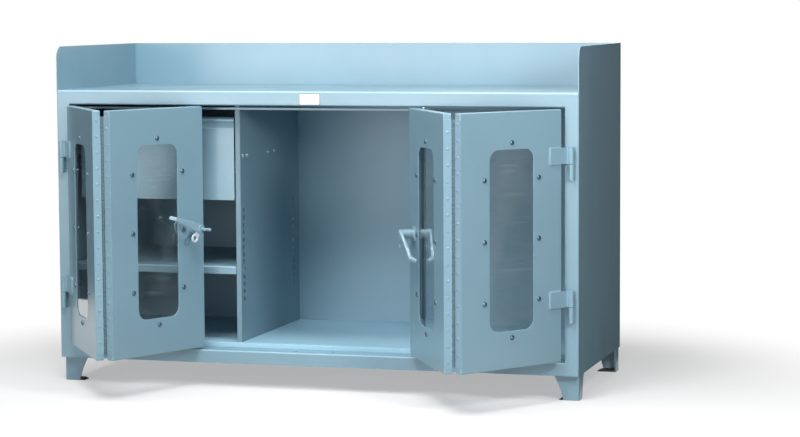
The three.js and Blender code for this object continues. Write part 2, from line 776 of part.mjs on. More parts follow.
// A pair of leaves on the left side, folded outwards; the right pair is its mirror image
function doorPair(side, outerAngle, innerAngle, leverAngle, hasPin) {
  const pair = new THREE.Group();
  const pinX = -benchWidth / 2 + hingeInset;
  const hingeLevels = { upper: leafHeight / 2 + hingeSpread / 2, lower: leafHeight / 2 - hingeSpread / 2 };

  const outer = new THREE.Group();
  outer.position.set(pinX, -hingeProud, 0);
  outer.rotation.z = -THREE.MathUtils.degToRad(outerAngle);
  const outerLeaf = windowedLeaf(`${side}_outer`, false);
  outerLeaf.position.set(leafStart, hingeProud, leafBottom);
  outer.add(outerLeaf);
  for (const [place, level] of Object.entries(hingeLevels)) {
    outer.add(hingeOnLeaf(`${side}_${place}_hinge_door`, leafBottom + level));
    const fixed = hingeOnStile(`${side}_${place}_hinge_stile`, leafBottom + level);
    fixed.position.set(pinX, -hingeProud, 0);
    pair.add(fixed);
  }

  const fold = new THREE.Group();
  fold.position.set(leafStart + leafWidth + foldGap / 2, hingeProud + leafThickness + knucklePinBehind, 0);
  fold.add(continuousHinge(`${side}_fold_hinge_outer`, -1));
  outer.add(fold);

  const inner = new THREE.Group();
  inner.rotation.z = THREE.MathUtils.degToRad(outerAngle + innerAngle);
  inner.add(continuousHinge(`${side}_fold_hinge_inner`, 1));
  const innerLeaf = windowedLeaf(`${side}_inner`, true);
  innerLeaf.position.set(foldGap / 2, -knucklePinBehind - leafThickness, leafBottom);
  const latch = new THREE.Group();
  latch.position.set(leafWidth - handleInset, 0, leafHeight / 2);
  latch.add(escutcheon(`${side}_escutcheon`));
  latch.add(lever(`${side}_lever`, leverAngle, hasPin));
  latch.add(latchStrap(`${side}_latch_strap`));
  latch.add(latchRod(`${side}_top_rod`, 1, leverAngle));
  latch.add(latchRod(`${side}_bottom_rod`, -1, leverAngle));
  innerLeaf.add(latch);
  inner.add(innerLeaf);
  fold.add(inner);

  pair.add(outer);
  return pair;
}

function mirrored(object) {
  const group = new THREE.Group();
  group.scale.x = -1;
  group.add(object);
  return group;
}

const bench = new THREE.Group();
bench.add(sidePanel("left_side_panel"));
bench.add(mirrored(sidePanel("right_side_panel")));
bench.add(backPanel());
bench.add(workTopSheet());
bench.add(soffitPanel());
bench.add(stopLip());
bench.add(bottomRail());
bench.add(floorPanel());
bench.add(dividerPanel());
bench.add(namePlate());
bench.add(...legs());
bench.add(...shelfPieces());
bench.add(...drawerPieces());
bench.add(doorPair("left", leftOuterAngle, leftInnerAngle, leftLeverAngle, true));
bench.add(mirrored(doorPair("right", rightOuterAngle, rightInnerAngle, rightLeverAngle, false)));

// The origin goes to the floor under the middle of everything
const extent = new THREE.Box3().setFromObject(bench, true);
const middle = extent.getCenter(new THREE.Vector3());
bench.position.set(-middle.x, -middle.y, -extent.min.z);

const workbench = new THREE.Group();
workbench.add(bench);

export default workbench;
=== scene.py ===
"""Steel workbench with two pairs of bi-fold doors: the finished look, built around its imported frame."""
import json
import math

import bmesh
import bpy
from bpy.props import FloatProperty, FloatVectorProperty, IntProperty, PointerProperty
from mathutils import Matrix, Vector


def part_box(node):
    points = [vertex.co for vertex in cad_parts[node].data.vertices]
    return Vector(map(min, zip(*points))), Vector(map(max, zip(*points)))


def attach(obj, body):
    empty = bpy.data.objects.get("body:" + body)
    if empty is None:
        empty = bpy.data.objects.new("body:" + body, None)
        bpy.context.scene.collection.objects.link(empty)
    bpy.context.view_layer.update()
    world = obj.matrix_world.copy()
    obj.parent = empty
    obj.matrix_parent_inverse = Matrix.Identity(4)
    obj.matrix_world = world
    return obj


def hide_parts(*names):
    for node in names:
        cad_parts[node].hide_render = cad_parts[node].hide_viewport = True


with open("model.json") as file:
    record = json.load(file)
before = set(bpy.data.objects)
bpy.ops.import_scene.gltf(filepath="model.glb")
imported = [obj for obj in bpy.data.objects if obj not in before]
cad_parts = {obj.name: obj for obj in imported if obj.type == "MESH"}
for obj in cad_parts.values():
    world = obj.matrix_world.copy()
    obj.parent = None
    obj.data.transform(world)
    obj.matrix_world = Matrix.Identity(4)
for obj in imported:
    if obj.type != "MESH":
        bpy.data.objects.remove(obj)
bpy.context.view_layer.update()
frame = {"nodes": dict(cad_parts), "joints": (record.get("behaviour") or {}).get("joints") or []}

bl_info = {
    "name": "Workbench with Cabinet Doors",
    "version": (1, 0, 0),
    "blender": (4, 5, 0),
    "location": "3D View > Sidebar > Workbench",
    "description": "Builds the sheet steel, doors, windows, hinges, latches and studio of a workbench",
    "category": "Object",
}

SIDES = {"left": 1, "right": -1}  # sign of X from the end of the bench towards its middle
# These constants pick the narrow bend faces that get the painted-highlight enamel in make
BEND_STEP, BEND_RUN = 0.003, 0.004  # a bend's faces are narrower than the one and longer than the other
BEND_TURN = 0.998  # cosine of the least angle between a bend's face and the broadest flat


def low(node):
    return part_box(node)[0]


def high(node):
    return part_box(node)[1]


def joint(name):
    return next(j for j in frame["joints"] if j["name"] == name)


# Faces and levels of the bench, from its frame
END = high("right_side_panel").x
FRONT = low("bottom_rail").y
BACK = high("back_panel").y
BODY_BOTTOM = low("left_side_panel").z
GUARD_TOP = high("left_side_panel").z
WORK_TOP = high("work_top").z
HEADER_DROP = 0.003  # header's lower edge under the frame's soffit
HEADER_BOTTOM = low("soffit_panel").z - HEADER_DROP
SILL_TOP = high("bottom_rail").z
FLOOR_TOP = high("floor_panel").z
SHEET = high("back_panel").y - low("back_panel").y
LIP_FRONT, LIP_BOTTOM = low("stop_lip").y, low("stop_lip").z
RECESS = high("stop_lip").y
DIVIDER_RIGHT = high("divider_panel").x
LEAF_BOTTOM, LEAF_TOP = low("left_outer_leaf").z, high("left_outer_leaf").z
LEAF_HEIGHT = LEAF_TOP - LEAF_BOTTOM


def length(name, description, default):
    return FloatProperty(name=name, description=description, default=default, unit="LENGTH", precision=4)


def colour(name, description, default):
    return FloatVectorProperty(name=name, description=description, default=default, subtype="COLOR",
                               min=0.0, max=1.0)


def share(name, description, default):
    return FloatProperty(name=name, description=description, default=default, min=0.0, subtype="FACTOR")


def power(name, description, default):
    return FloatProperty(name=name, description=description, default=default, min=0.0, unit="POWER")


def count(name, description, default):
    return IntProperty(name=name, description=description, default=default, min=1)


class WorkbenchBody(bpy.types.PropertyGroup):
    """Sizes of the sheet steel body"""
    frame_face: length("Frame face", "Width of the stiles beside the doorway", 0.046)
    corner_bend: length("Corner bend", "Outside radius between a stile and its side panel", 0.004)
    top_bend: length("Top bend", "Outside radius at the front of the work top", 0.007)
    header_bend: length("Header bend", "Outside radius under the header", 0.005)
    lip_height: length("Lip height", "Height of the stop strip that hangs behind the doors", 0.0075)
    sill_bend: length("Sill bend", "Outside radius at the front of the sill", 0.004)
    floor_bend: length("Floor bend", "Outside radius at the front of the cabinet floor", 0.004)
    fold_bend: length("Fold bend", "Outside radius of the shelf, divider and drawer folds", 0.0035)
    guard_corner: length("Guard corner", "Radius at the front of the end guards", 0.040)
    rod_hole: length("Rod hole", "Radius of the latch rods' holes in soffit and sill", 0.008)
    rod_place: length("Rod place", "Rod holes from the middle of the bench", 0.0655)
    rod_depth: length("Rod depth", "Rod holes behind the front of the bench", 0.0341)
    edge_break: length("Edge break", "Rounding of cut sheet edges", 0.0007)
    slot_rows: count("Slot rows", "Slots in each column of the divider", 13)
    slot_pitch: length("Slot pitch", "From slot to slot", 0.0254)
    slot_width: length("Slot width", "Width of a divider slot", 0.018)
    slot_height: length("Slot height", "Height of a divider slot", 0.015)
    slot_corner: length("Slot corner", "Corner radius of a divider slot", 0.003)
    slot_start: length("Slot start", "Lowest slot above the underside of the body", 0.208)
    slot_front: length("Front column", "Front slots behind the divider's front", 0.030)
    slot_rear: length("Rear column", "Rear slots in front of the divider's rear edge", 0.068)
    drawer_lip: length("Drawer lip", "Depth and height of the drawer front's slanted lip", 0.014)
    drawer_hollow: length("Drawer hollow", "Depth of the finger hollow under the lip", 0.0065)
    drawer_ramp: length("Drawer ramp", "Height of the finger hollow", 0.024)
    leg_plate: length("Leg plate", "Thickness of a leg", 0.005)
    leg_bend: length("Leg bend", "Outside radius of a leg's corner", 0.007)
    leg_hollow: length("Leg hollow", "How far a leg's inner edge curves in", 0.004)
    leg_width: length("Leg width", "Width of a leg under the body, seen from the front", 0.086)
    leg_depth: length("Leg depth", "Width of a leg under the body, seen from the end", 0.073)
    leg_foot_width: length("Foot width", "Width of a leg at the floor, seen from the front", 0.054)
    leg_foot_depth: length("Foot depth", "Width of a leg at the floor, seen from the end", 0.050)
    leg_pad: length("Pad", "Thickness of the pad inside a leg", 0.007)
    leg_toe: length("Pad toe", "How far a pad reaches past its leg", 0.016)


class WorkbenchDoors(bpy.types.PropertyGroup):
    """Sizes of the door leaves, windows and hinges"""
    leaf_width: length("Leaf width", "Width of a door leaf", 0.428)
    leaf_depth: length("Leaf depth", "Thickness of a folded leaf", 0.0265)
    leaf_sheet: length("Leaf sheet", "Sheet that the leaves are folded from", 0.002)
    leaf_bend: length("Leaf bend", "Outside radius of a leaf's folds", 0.0032)
    leaf_return: length("Leaf return", "Width of the lip at the back of a leaf", 0.015)
    leaf_start: length("Leaf start", "Leaf's edge from its hinge pin", 0.030)
    fold_gap: length("Fold gap", "Between the two leaves of a pair", 0.004)
    window_margin: length("Window margin", "From a leaf's edge to its window", 0.121)
    window_corner: length("Window corner", "Radius of a window's corners", 0.036)
    pane_overlap: length("Pane overlap", "How far a pane reaches past its window", 0.036)
    pane_thickness: length("Pane thickness", "Thickness of a clear pane", 0.005)
    clamp_thickness: length("Clamp thickness", "Thickness of the frame behind a pane", 0.0025)
    clamp_lap: length("Clamp lap", "Clamp's opening past the window's edge", 0.004)
    play: length("Play", "Clear gap between stacked pieces", 0.0003)
    bolt_offset: length("Bolt offset", "Bolts outside the window's edge", 0.022)
    bolt_spread: length("Bolt spread", "Between bolts along a window's side", 0.196)
    bolt_head: length("Bolt head", "Radius of a bolt's domed head", 0.0085)
    bolt_dome: length("Bolt dome", "Height of a bolt's head", 0.0055)
    hinge_proud: length("Hinge proud", "Hinge pin in front of the frame", 0.015)
    hinge_radius: length("Hinge radius", "Radius of a hinge barrel", 0.0083)
    hinge_plate: length("Hinge plate", "Thickness of a hinge flap", 0.005)
    hinge_flap: length("Hinge flap", "Length of a hinge flap on its leaf", 0.052)
    hinge_joint: length("Hinge joint", "Gap between the two halves of a barrel", 0.0014)
    hinge_neck: length("Hinge neck", "Width of a barrel's welded foot", 0.014)
    knuckle_radius: length("Knuckle radius", "Radius of the continuous hinge's knuckles", 0.0045)
    knuckle_behind: length("Knuckle behind", "Continuous hinge's pin behind the leaves", 0.0052)
    knuckle_count: count("Knuckles", "Knuckles along a continuous hinge", 57)
    knuckle_gap: length("Knuckle gap", "Between a knuckle's end and its share of the hinge", 0.0006)
    knuckle_plate: length("Knuckle plate", "Thickness of the continuous hinge's plates", 0.0010)
    rivet_pitch: length("Rivet pitch", "From rivet to rivet along a hinge plate", 0.052)
    rivet_radius: length("Rivet radius", "Radius of a rivet's head", 0.0052)
    rivet_rise: length("Rivet rise", "Height of a rivet's head", 0.0015)


class WorkbenchLatches(bpy.types.PropertyGroup):
    """Sizes of the latches on the inner leaves"""
    inset: length("Inset", "Spindle from a leaf's free edge", 0.062)
    rose_width: length("Rose width", "Width of the plate under a lever", 0.038)
    rose_height: length("Rose height", "Height of the plate under a lever", 0.046)
    rose_thickness: length("Rose thickness", "Thickness of the plate under a lever", 0.004)
    boss_radius: length("Boss radius", "Radius of the rose's boss", 0.014)
    boss_height: length("Boss height", "Height of the rose's boss", 0.012)
    hub_radius: length("Hub radius", "Radius of a lever's hub", 0.016)
    hub_reach: length("Hub reach", "Hub's end in front of the leaf", 0.053)
    arm_depth: length("Arm depth", "Thickness of a lever's arm", 0.012)
    heel: length("Heel", "Spindle to the bend near a lever's end", 0.114)
    heel_reach: length("Heel reach", "Bend in front of the leaf", 0.041)
    heel_slant: length("Heel slant", "Inner side of the bend nearer the spindle", 0.009)
    arm_length: length("Arm length", "Spindle to a lever's end", 0.127)
    tip_reach: length("Tip reach", "Lever's end in front of the leaf", 0.020)
    tip_radius: length("Tip radius", "Half the width of a lever's end", 0.0065)
    tip_depth: length("Tip depth", "Thickness of a lever's end", 0.0055)
    tip_slant: length("Tip slant", "Inner side of the end nearer the spindle", 0.007)
    lug_angle: FloatProperty(name="Lug angle", description="Padlock eye behind the lever",
                             default=math.radians(72), subtype="ANGLE")
    lug_place: length("Lug place", "Spindle to the padlock eye", 0.038)
    lug_radius: length("Lug radius", "Outside radius of the padlock eye", 0.0145)
    lug_hole: length("Lug hole", "Radius of the padlock eye's hole", 0.0075)
    lug_reach: length("Lug reach", "Padlock eye's front in front of the leaf", 0.046)
    lug_thickness: length("Lug thickness", "Thickness of the padlock eye", 0.006)
    lug_neck: length("Lug neck", "Width of the padlock eye's neck", 0.018)
    pin_radius: length("Pin radius", "Radius of the slim pin in the left hub", 0.005)
    pin_reach: length("Pin reach", "Pin's end in front of the leaf", 0.095)
    spindle_radius: length("Spindle radius", "Radius of the spindle", 0.007)
    cam_radius: length("Cam radius", "Radius of the cam with the lever raised", 0.020)
    cam_rise: length("Cam rise", "Travel of the rods over the lever's travel", 0.025)
    cam_thickness: length("Cam thickness", "Thickness of the cam", 0.008)
    travel: FloatProperty(name="Travel", description="Lever from hanging to fully raised",
                          default=math.radians(111), subtype="ANGLE")
    strap_width: length("Strap width", "Width of the strap behind a leaf", 0.056)
    strap_thickness: length("Strap thickness", "Thickness of the strap behind a leaf", 0.003)
    rod_radius: length("Rod radius", "Radius of a latch rod", 0.005)
    guide_height: length("Guide height", "Height of a rod guide", 0.016)
    guide_width: length("Guide width", "Width of a rod guide", 0.022)


class WorkbenchFinish(bpy.types.PropertyGroup):
    """Colours and gloss of the bench"""
    paint: colour("Paint", "Enamel on the sheet steel", (0.248, 0.408, 0.498))
    paint_gloss: share("Paint roughness", "Roughness of the enamel", 0.23)
    inside_gloss: share("Inside roughness", "Roughness of the enamel inside the cabinet", 0.40)
    # Floor tone brightens the cabinet floor's enamel as painted light
    floor_painted_light_gain: share("Floor tone", "Brightness of the cabinet floor, scuffed light", 1.66)
    # Divider tone darkens the divider's enamel as painted shade
    divider_shade_gain: share("Divider tone", "Brightness of the divider", 0.74)
    # Bend tone brightens the enamel on upward-facing bends: a painted highlight
    bend_highlight_gain: share("Bend tone", "Brightness of the enamel over the frame's bends", 1.45)
    # Leaf bend tone brightens the leaves' bends: a painted highlight
    leaf_bend_highlight_gain: share("Leaf bend tone", "Brightness of the enamel over the leaves' bends", 1.15)
    # Knuckle tone darkens the knuckles as painted shade in the gap between the leaves
    knuckle_shade_gain: share("Knuckle tone", "Brightness of the continuous hinges' knuckles", 0.42)
    # Strap tone brightens the straps as painted light
    strap_painted_light_gain: share("Strap tone", "Brightness of the straps behind the leaves", 1.9)
    bend_gloss: share("Bend roughness", "Roughness of the enamel over bends and edges", 0.14)
    zinc: colour("Zinc", "Plated bolts, rods and slides", (0.60, 0.63, 0.66))
    cast: colour("Cast steel", "Lever and rose", (0.29, 0.45, 0.54))
    # The light eye colour, used on the left lever's eye only, is a painted highlight
    eye: colour("Eye", "Padlock eye beside a lever's hub", (0.72, 0.80, 0.84))
    bolt: colour("Bolt", "Enamelled bolt heads", (0.042, 0.07, 0.09))
    rubber: colour("Pad", "Pads under the legs", (0.022, 0.024, 0.026))
    plate: colour("Plate", "Blank plate on the header", (0.93, 0.94, 0.94))
    # Plate edge is the dark rim round the plate, a painted shadow
    plate_shadow_edge: colour("Plate edge", "Backing of the blank plate", (0.10, 0.12, 0.14))
    head_tint: colour("Head tint", "Tint of the mirror on painted bolt heads and rivets", (0.45, 0.72, 0.95))
    haze: colour("Haze", "Dust and rub marks on the panes", (0.50, 0.56, 0.58))


class WorkbenchStudio(bpy.types.PropertyGroup):
    """Floor, lamps and camera"""
    floor_tone: share("Floor tone", "Brightness of the floor as seen", 0.96)
    floor_glow: share("Floor glow", "Share of the floor's own white near the bench, as on a lit table", 0.40)
    floor_bounce: share("Floor bounce", "Brightness of the floor as a reflector", 0.36)
    glow_start: length("Glow start", "From the bench to where the floor turns white", 1.2)
    glow_end: length("Glow end", "From the bench to where the floor is all white", 2.1)
    sky: share("Sky", "Strength of the light from all around", 0.11)
    key: power("Key", "Power of the large front lamp", 62.0)
    sheen: power("Sheen", "Power of the low lamp that the front faces mirror", 106.0)
    side: power("Side", "Power of the small lamp at the right", 28.0)
    top: power("Top", "Power of the lamp overhead", 68.0)
    rear: power("Rear", "Power of the weak lamp behind", 40.0)
    camera_place: FloatVectorProperty(name="Camera", description="Place of the camera", subtype="XYZ",
                                      unit="LENGTH", default=(2.49697, -7.72431, 1.29559))
    camera_turn: FloatVectorProperty(name="Camera turn", description="Pan, downward tilt and roll",
                                     subtype="EULER", default=(-0.281388, 0.0893976, 0.00525738))
    lens: FloatProperty(name="Lens", description="Focal length on a 36 mm sensor, in millimetres",
                        default=107.435)


GROUPS = {
    "workbench_body": WorkbenchBody,
    "workbench_doors": WorkbenchDoors,
    "workbench_latches": WorkbenchLatches,
    "workbench_finish": WorkbenchFinish,
    "workbench_studio": WorkbenchStudio,
}


def body():
    return bpy.context.scene.workbench_body


def doors():
    return bpy.context.scene.workbench_doors


def latches():
    return bpy.context.scene.workbench_latches


def finish():
    return bpy.context.scene.workbench_finish


def studio():
    return bpy.context.scene.workbench_studio


# Shaders

class Value:
    """A socket whose arithmetic adds Math nodes"""

    def __init__(self, shader, socket):
        self.shader = shader
        self.socket = socket

    def math(self, operation, *values):
        return self.shader.node("ShaderNodeMath", {"operation": operation}, dict(enumerate(values)))

    def __add__(self, other):
        return self.math("ADD", self, other)

    def __sub__(self, other):
        return self.math("SUBTRACT", self, other)

    def __mul__(self, other):
        return self.math("MULTIPLY", self, other)

    def __truediv__(self, other):
        return self.math("DIVIDE", self, other)

    def __pow__(self, other):
        return self.math("POWER", self, other)

    def __rsub__(self, other):
        return self.math("SUBTRACT", other, self)

    def __rtruediv__(self, other):
        return self.math("DIVIDE", other, self)

    __radd__ = __add__
    __rmul__ = __mul__

    def clamped(self):
        return self.shader.node("ShaderNodeClamp", {}, {0: self})


class Shader:
    """A node tree that is filled by expressions"""

    def __init__(self, tree):
        self.tree = tree
        tree.nodes.clear()

    def node(self, kind, settings=None, sockets=None, output=0):
        made = self.tree.nodes.new(kind)
        for name, setting in (settings or {}).items():
            if name == "stops":
                self.set_stops(made.color_ramp, setting)
            else:
                setattr(made, name, setting)
        for name, value in (sockets or {}).items():
            if isinstance(value, Value):
                self.tree.links.new(value.socket, made.inputs[name])
            else:
                made.inputs[name].default_value = value
        return Value(self, made.outputs[output]) if made.outputs else None

    def set_stops(self, ramp, stops):
        while len(ramp.elements) < len(stops):
            ramp.elements.new(1.0)
        for element, (place, shade) in zip(ramp.elements, stops):
            element.position = place
            element.color = shade

    def place(self):
        return self.node("ShaderNodeTexCoord", output="Object")

    def noise(self, scale, detail=2.0, stretch=None):
        place = self.place()
        if stretch:
            place = self.node("ShaderNodeVectorMath", {"operation": "MULTIPLY"}, {0: place, 1: stretch})
        sockets = {"Vector": place, "Scale": scale, "Detail": detail, "Roughness": 0.55}
        return self.node("ShaderNodeTexNoise", {"normalize": True}, sockets)

    def ramp(self, value, start, end):
        sockets = {"Value": value, "From Min": start, "From Max": end}
        return self.node("ShaderNodeMapRange", {"interpolation_type": "SMOOTHSTEP"}, sockets)

    def blend(self, factor, first, second):
        sockets = {"Factor": factor, 6: first, 7: second}
        return self.node("ShaderNodeMix", {"data_type": "RGBA"}, sockets, 2)

    def bump(self, height, depth, strength=1.0):
        return self.node("ShaderNodeBump", {}, {"Height": height, "Distance": depth, "Strength": strength})

    def output(self, surface):
        self.node("ShaderNodeOutputMaterial", {}, {"Surface": surface})


def new_material(name):
    name = f"workbench_{name}"
    material = bpy.data.materials.get(name)
    if material is None:
        material = bpy.data.materials.new(name)
        material.use_nodes = True
        return material, Shader(material.node_tree)
    return material, None


def rgba(shade, gain=1.0):
    return (*(min(1.0, channel * gain) for channel in shade), 1.0)


def enamel(name, gain=1.0, gloss=None, dull_under=None):
    """Sprayed enamel: a fine orange peel, slow drifts of tone and faint handling marks"""
    material, shader = new_material(name)
    if shader is None:
        return material
    shade = finish().paint
    drift = shader.ramp(shader.noise(2.1, 3.0), 0.3, 0.7)
    speck = shader.noise(620.0, 1.0)
    streak = shader.noise(7.0, 3.0, (1.0, 1.0, 0.12))
    # gain lifts or lowers the whole tone; the floor, strap, divider, knuckle and bend enamels use it to paint
    # light or shade
    tone = shader.blend(drift, rgba(shade, 0.955 * gain), rgba(shade, 1.035 * gain))
    tone = shader.blend(shader.ramp(speck, 0.35, 0.75) * 0.06, tone, rgba(shade, 1.25 * gain))
    roughness = (gloss or finish().paint_gloss) + (streak - 0.5) * 0.12 + (speck - 0.5) * 0.05
    if dull_under:
        height = shader.node("ShaderNodeSeparateXYZ", {}, {0: shader.place()}, "Z")
        glossy_part = shader.ramp(height, dull_under - SHEET, dull_under)
        roughness = roughness + (1.0 - glossy_part) * (finish().inside_gloss - finish().paint_gloss)
    peel = shader.noise(190.0, 2.0) + shader.noise(38.0, 1.0) * 0.25
    surface = shader.node("ShaderNodeBsdfPrincipled", {}, {
        "Base Color": tone,
        "Roughness": roughness,
        "Normal": shader.bump(peel, 0.00035, 0.55),
        "Specular IOR Level": 0.5,
        "Coat Weight": 0.0,
    })
    shader.output(surface)
    return material


def frame_paint():
    return enamel("frame_enamel")


def inside_paint():
    return enamel("inside_enamel", gloss=finish().inside_gloss)


def back_paint():
    """Glossy above the work top and dull inside the cabinet"""
    return enamel("back_enamel", dull_under=WORK_TOP)


def floor_painted_light_paint():
    """Inside enamel made lighter over the whole cabinet floor: painted light"""
    return enamel("floor_painted_light_enamel", gain=finish().floor_painted_light_gain, gloss=finish().inside_gloss)


# Darker enamel on the divider: painted shade
def divider_shaded_paint():
    return enamel("divider_shaded_enamel", gain=finish().divider_shade_gain, gloss=finish().inside_gloss)


def door_paint():
    return enamel("door_enamel")


def hinge_paint():
    return enamel("hinge_enamel", gain=1.04)


def knuckle_shaded_paint():
    """Darker, duller enamel on the knuckles between the leaves of the continuous hinges: the darkness is
    painted shade
    """
    return enamel("knuckle_shaded_enamel", gain=finish().knuckle_shade_gain, gloss=0.5)


# Lighter enamel on the straps behind the leaves: painted light on parts that sit in shade
def strap_painted_light_paint():
    return enamel("strap_painted_light_enamel", gain=finish().strap_painted_light_gain)


def leg_paint():
    return enamel("leg_enamel")


def bend_highlight_paint():
    """Enamel made lighter and glossier over the upward-facing bends of the frame and the shelves: a painted
    highlight
    """
    return enamel("bend_highlight_enamel", gain=finish().bend_highlight_gain, gloss=finish().bend_gloss)


# Lighter, glossier enamel on the leaves' bends and window edges that do not face down: a painted highlight
def leaf_bend_highlight_paint():
    return enamel("leaf_bend_highlight_enamel", gain=finish().leaf_bend_highlight_gain, gloss=finish().bend_gloss)


def zinc_plate():
    """Bright zinc with a soft spangle"""
    material, shader = new_material("zinc_plate")
    if shader is None:
        return material
    cells = shader.node("ShaderNodeTexVoronoi", {"feature": "F1"},
                        {"Vector": shader.place(), "Scale": 210.0}, "Color")
    grain = shader.node("ShaderNodeSeparateColor", {}, {0: cells})
    tone = shader.blend(grain, rgba(finish().zinc, 0.82), rgba(finish().zinc, 1.12))
    surface = shader.node("ShaderNodeBsdfPrincipled", {}, {
        "Base Color": tone,
        "Metallic": 1.0,
        "Roughness": 0.26 + grain * 0.16,
        "Normal": shader.bump(shader.noise(420.0), 0.0001, 0.4),
    })
    shader.output(surface)
    return material


def cast_steel():
    """Painted casting: a grainy skin, rubbed bright where hands and padlocks touch it"""
    material, shader = new_material("cast_steel")
    if shader is None:
        return material
    grain = shader.noise(330.0, 3.0)
    rubbed = shader.ramp(shader.noise(46.0, 3.0), 0.52, 0.78)
    tone = shader.blend(rubbed * 0.4, rgba(finish().cast), rgba(finish().zinc, 1.1))
    surface = shader.node("ShaderNodeBsdfPrincipled", {}, {
        "Base Color": tone,
        "Metallic": 0.1 + rubbed * 0.3,
        "Roughness": 0.28 + (grain - 0.5) * 0.2,
        "Normal": shader.bump(grain, 0.0003, 0.5),
    })
    shader.output(surface)
    return material


def eye_highlight_steel():
    """Padlock eye in light steel, given to the left lever only: a painted highlight"""
    material, shader = new_material("eye_highlight_steel")
    if shader is None:
        return material
    grain = shader.noise(240.0, 3.0)
    surface = shader.node("ShaderNodeBsdfPrincipled", {}, {
        "Base Color": shader.blend(grain, rgba(finish().eye, 0.85), rgba(finish().eye, 1.1)),
        "Roughness": 0.22 + grain * 0.12,
        "Normal": shader.bump(grain, 0.0002, 0.4),
    })
    shader.output(surface)
    return material


def glossy_enamel(name, shade, gloss, mirror):
    """Glossy enamel on small domed heads, worn thin in spots"""
    material, shader = new_material(name)
    if shader is None:
        return material
    worn = shader.ramp(shader.noise(260.0, 2.0), 0.5, 0.8)
    surface = shader.node("ShaderNodeBsdfPrincipled", {}, {
        "Base Color": shader.blend(worn * 0.5, rgba(shade), rgba(shade, 1.5)),
        "Roughness": gloss + worn * 0.1,
        "IOR": mirror,
        "Specular Tint": rgba(finish().head_tint),
        "Normal": shader.bump(worn, 0.0001, 0.3),
    })
    shader.output(surface)
    return material


def bolt_enamel():
    return glossy_enamel("bolt_enamel", finish().bolt, 0.08, 2.3)


def rivet_enamel():
    return glossy_enamel("rivet_enamel", finish().paint, 0.12, 1.6)


def pad_rubber():
    """Black moulded pad with a dusty film"""
    material, shader = new_material("pad_rubber")
    if shader is None:
        return material
    dust = shader.ramp(shader.noise(60.0, 4.0), 0.45, 0.8)
    surface = shader.node("ShaderNodeBsdfPrincipled", {}, {
        "Base Color": shader.blend(dust * 0.35, rgba(finish().rubber), (0.16, 0.16, 0.16, 1.0)),
        "Roughness": 0.62 + dust * 0.25,
        "Normal": shader.bump(shader.noise(500.0), 0.0003, 0.5),
    })
    shader.output(surface)
    return material


def plate_white():
    """Blank plate, satin white with a faint mottle"""
    material, shader = new_material("plate_white")
    if shader is None:
        return material
    mottle = shader.noise(90.0, 3.0)
    surface = shader.node("ShaderNodeBsdfPrincipled", {}, {
        "Base Color": shader.blend(mottle, rgba(finish().plate, 0.97), rgba(finish().plate, 1.04)),
        "Roughness": 0.42 + (mottle - 0.5) * 0.15,
        "Normal": shader.bump(mottle, 0.0001, 0.3),
    })
    shader.output(surface)
    return material


def plate_shadow_backing():
    """Dark backing that shows as a thin line round the plate: a painted shadow along its edge"""
    material, shader = new_material("plate_shadow_backing")
    if shader is None:
        return material
    mottle = shader.noise(240.0)
    surface = shader.node("ShaderNodeBsdfPrincipled", {}, {
        "Base Color": shader.blend(mottle, rgba(finish().plate_shadow_edge, 0.8), rgba(finish().plate_shadow_edge, 1.2)),
        "Roughness": 0.6,
    })
    shader.output(surface)
    return material


def clear_pane():
    """Clear sheet: mirrors at a slant, with a thin film of dust and long rub marks"""
    material, shader = new_material("clear_pane")
    if shader is None:
        return material
    film = shader.ramp(shader.noise(9.0, 4.0), 0.3, 0.85)
    rubs = shader.ramp(shader.noise(30.0, 3.0, (0.25, 0.25, 5.0)), 0.52, 0.74)
    smear = shader.ramp(shader.noise(7.0, 2.0, (1.0, 1.0, 0.6)), 0.4, 0.7)
    hazy = shader.node("ShaderNodeBsdfPrincipled", {}, {
        "Base Color": shader.blend(film, rgba(finish().haze, 0.85), rgba(finish().haze, 1.15)),
        "Roughness": 0.5,
    })
    through = shader.node("ShaderNodeBsdfTransparent", {}, {"Color": (0.975, 0.988, 0.988, 1.0)})
    veil = shader.node("ShaderNodeMixShader", {}, {
        0: 0.006 + film * 0.02 + smear * 0.05 + rubs * 0.06, 1: through, 2: hazy})
    mirror = shader.node("ShaderNodeBsdfAnisotropic", {}, {
        "Color": (0.95, 0.97, 0.98, 1.0), "Roughness": 0.03 + film * 0.04})
    slant = shader.node("ShaderNodeFresnel", {}, {"IOR": 1.5})
    outside = 1.0 - shader.node("ShaderNodeNewGeometry", output="Backfacing")
    both_faces = 2.0 * slant / (1.0 + slant)
    shader.output(shader.node("ShaderNodeMixShader", {}, {0: outside * both_faces, 1: veil, 2: mirror}))
    return material


def seen_rays(shader):
    """1 for rays that show a picture: to the eye, in a mirror or through glass"""
    kinds = ("Is Camera Ray", "Is Glossy Ray", "Is Transmission Ray")
    camera, glossy, clear = [shader.node("ShaderNodeLightPath", output=kind) for kind in kinds]
    return (camera + glossy + clear).clamped()


def studio_floor():
    """Pale lit floor that keeps a light shadow and turns white away from the bench"""
    material, shader = new_material("studio_floor")
    if shader is None:
        return material
    seen = seen_rays(shader)
    settings = studio()
    tone, bounce, glow = settings.floor_tone, settings.floor_bounce, settings.floor_glow
    lit = shader.node("ShaderNodeBsdfPrincipled", {}, {
        "Base Color": shader.blend(seen, rgba((bounce,) * 3), rgba((tone,) * 3)),
        "Roughness": 0.9,
        "Specular IOR Level": 0.0,
    })
    white = shader.node("ShaderNodeEmission", {}, {"Color": rgba((1.0,) * 3), "Strength": 1.0})
    distance = shader.node("ShaderNodeVectorMath", {"operation": "LENGTH"}, {0: shader.place()}, "Value")
    far = shader.ramp(distance, settings.glow_start, settings.glow_end)
    share_white = seen * (glow + (1.0 - glow) * far)
    shader.output(shader.node("ShaderNodeMixShader", {}, {0: share_white, 1: lit, 2: white}))
    return material


# Mesh building

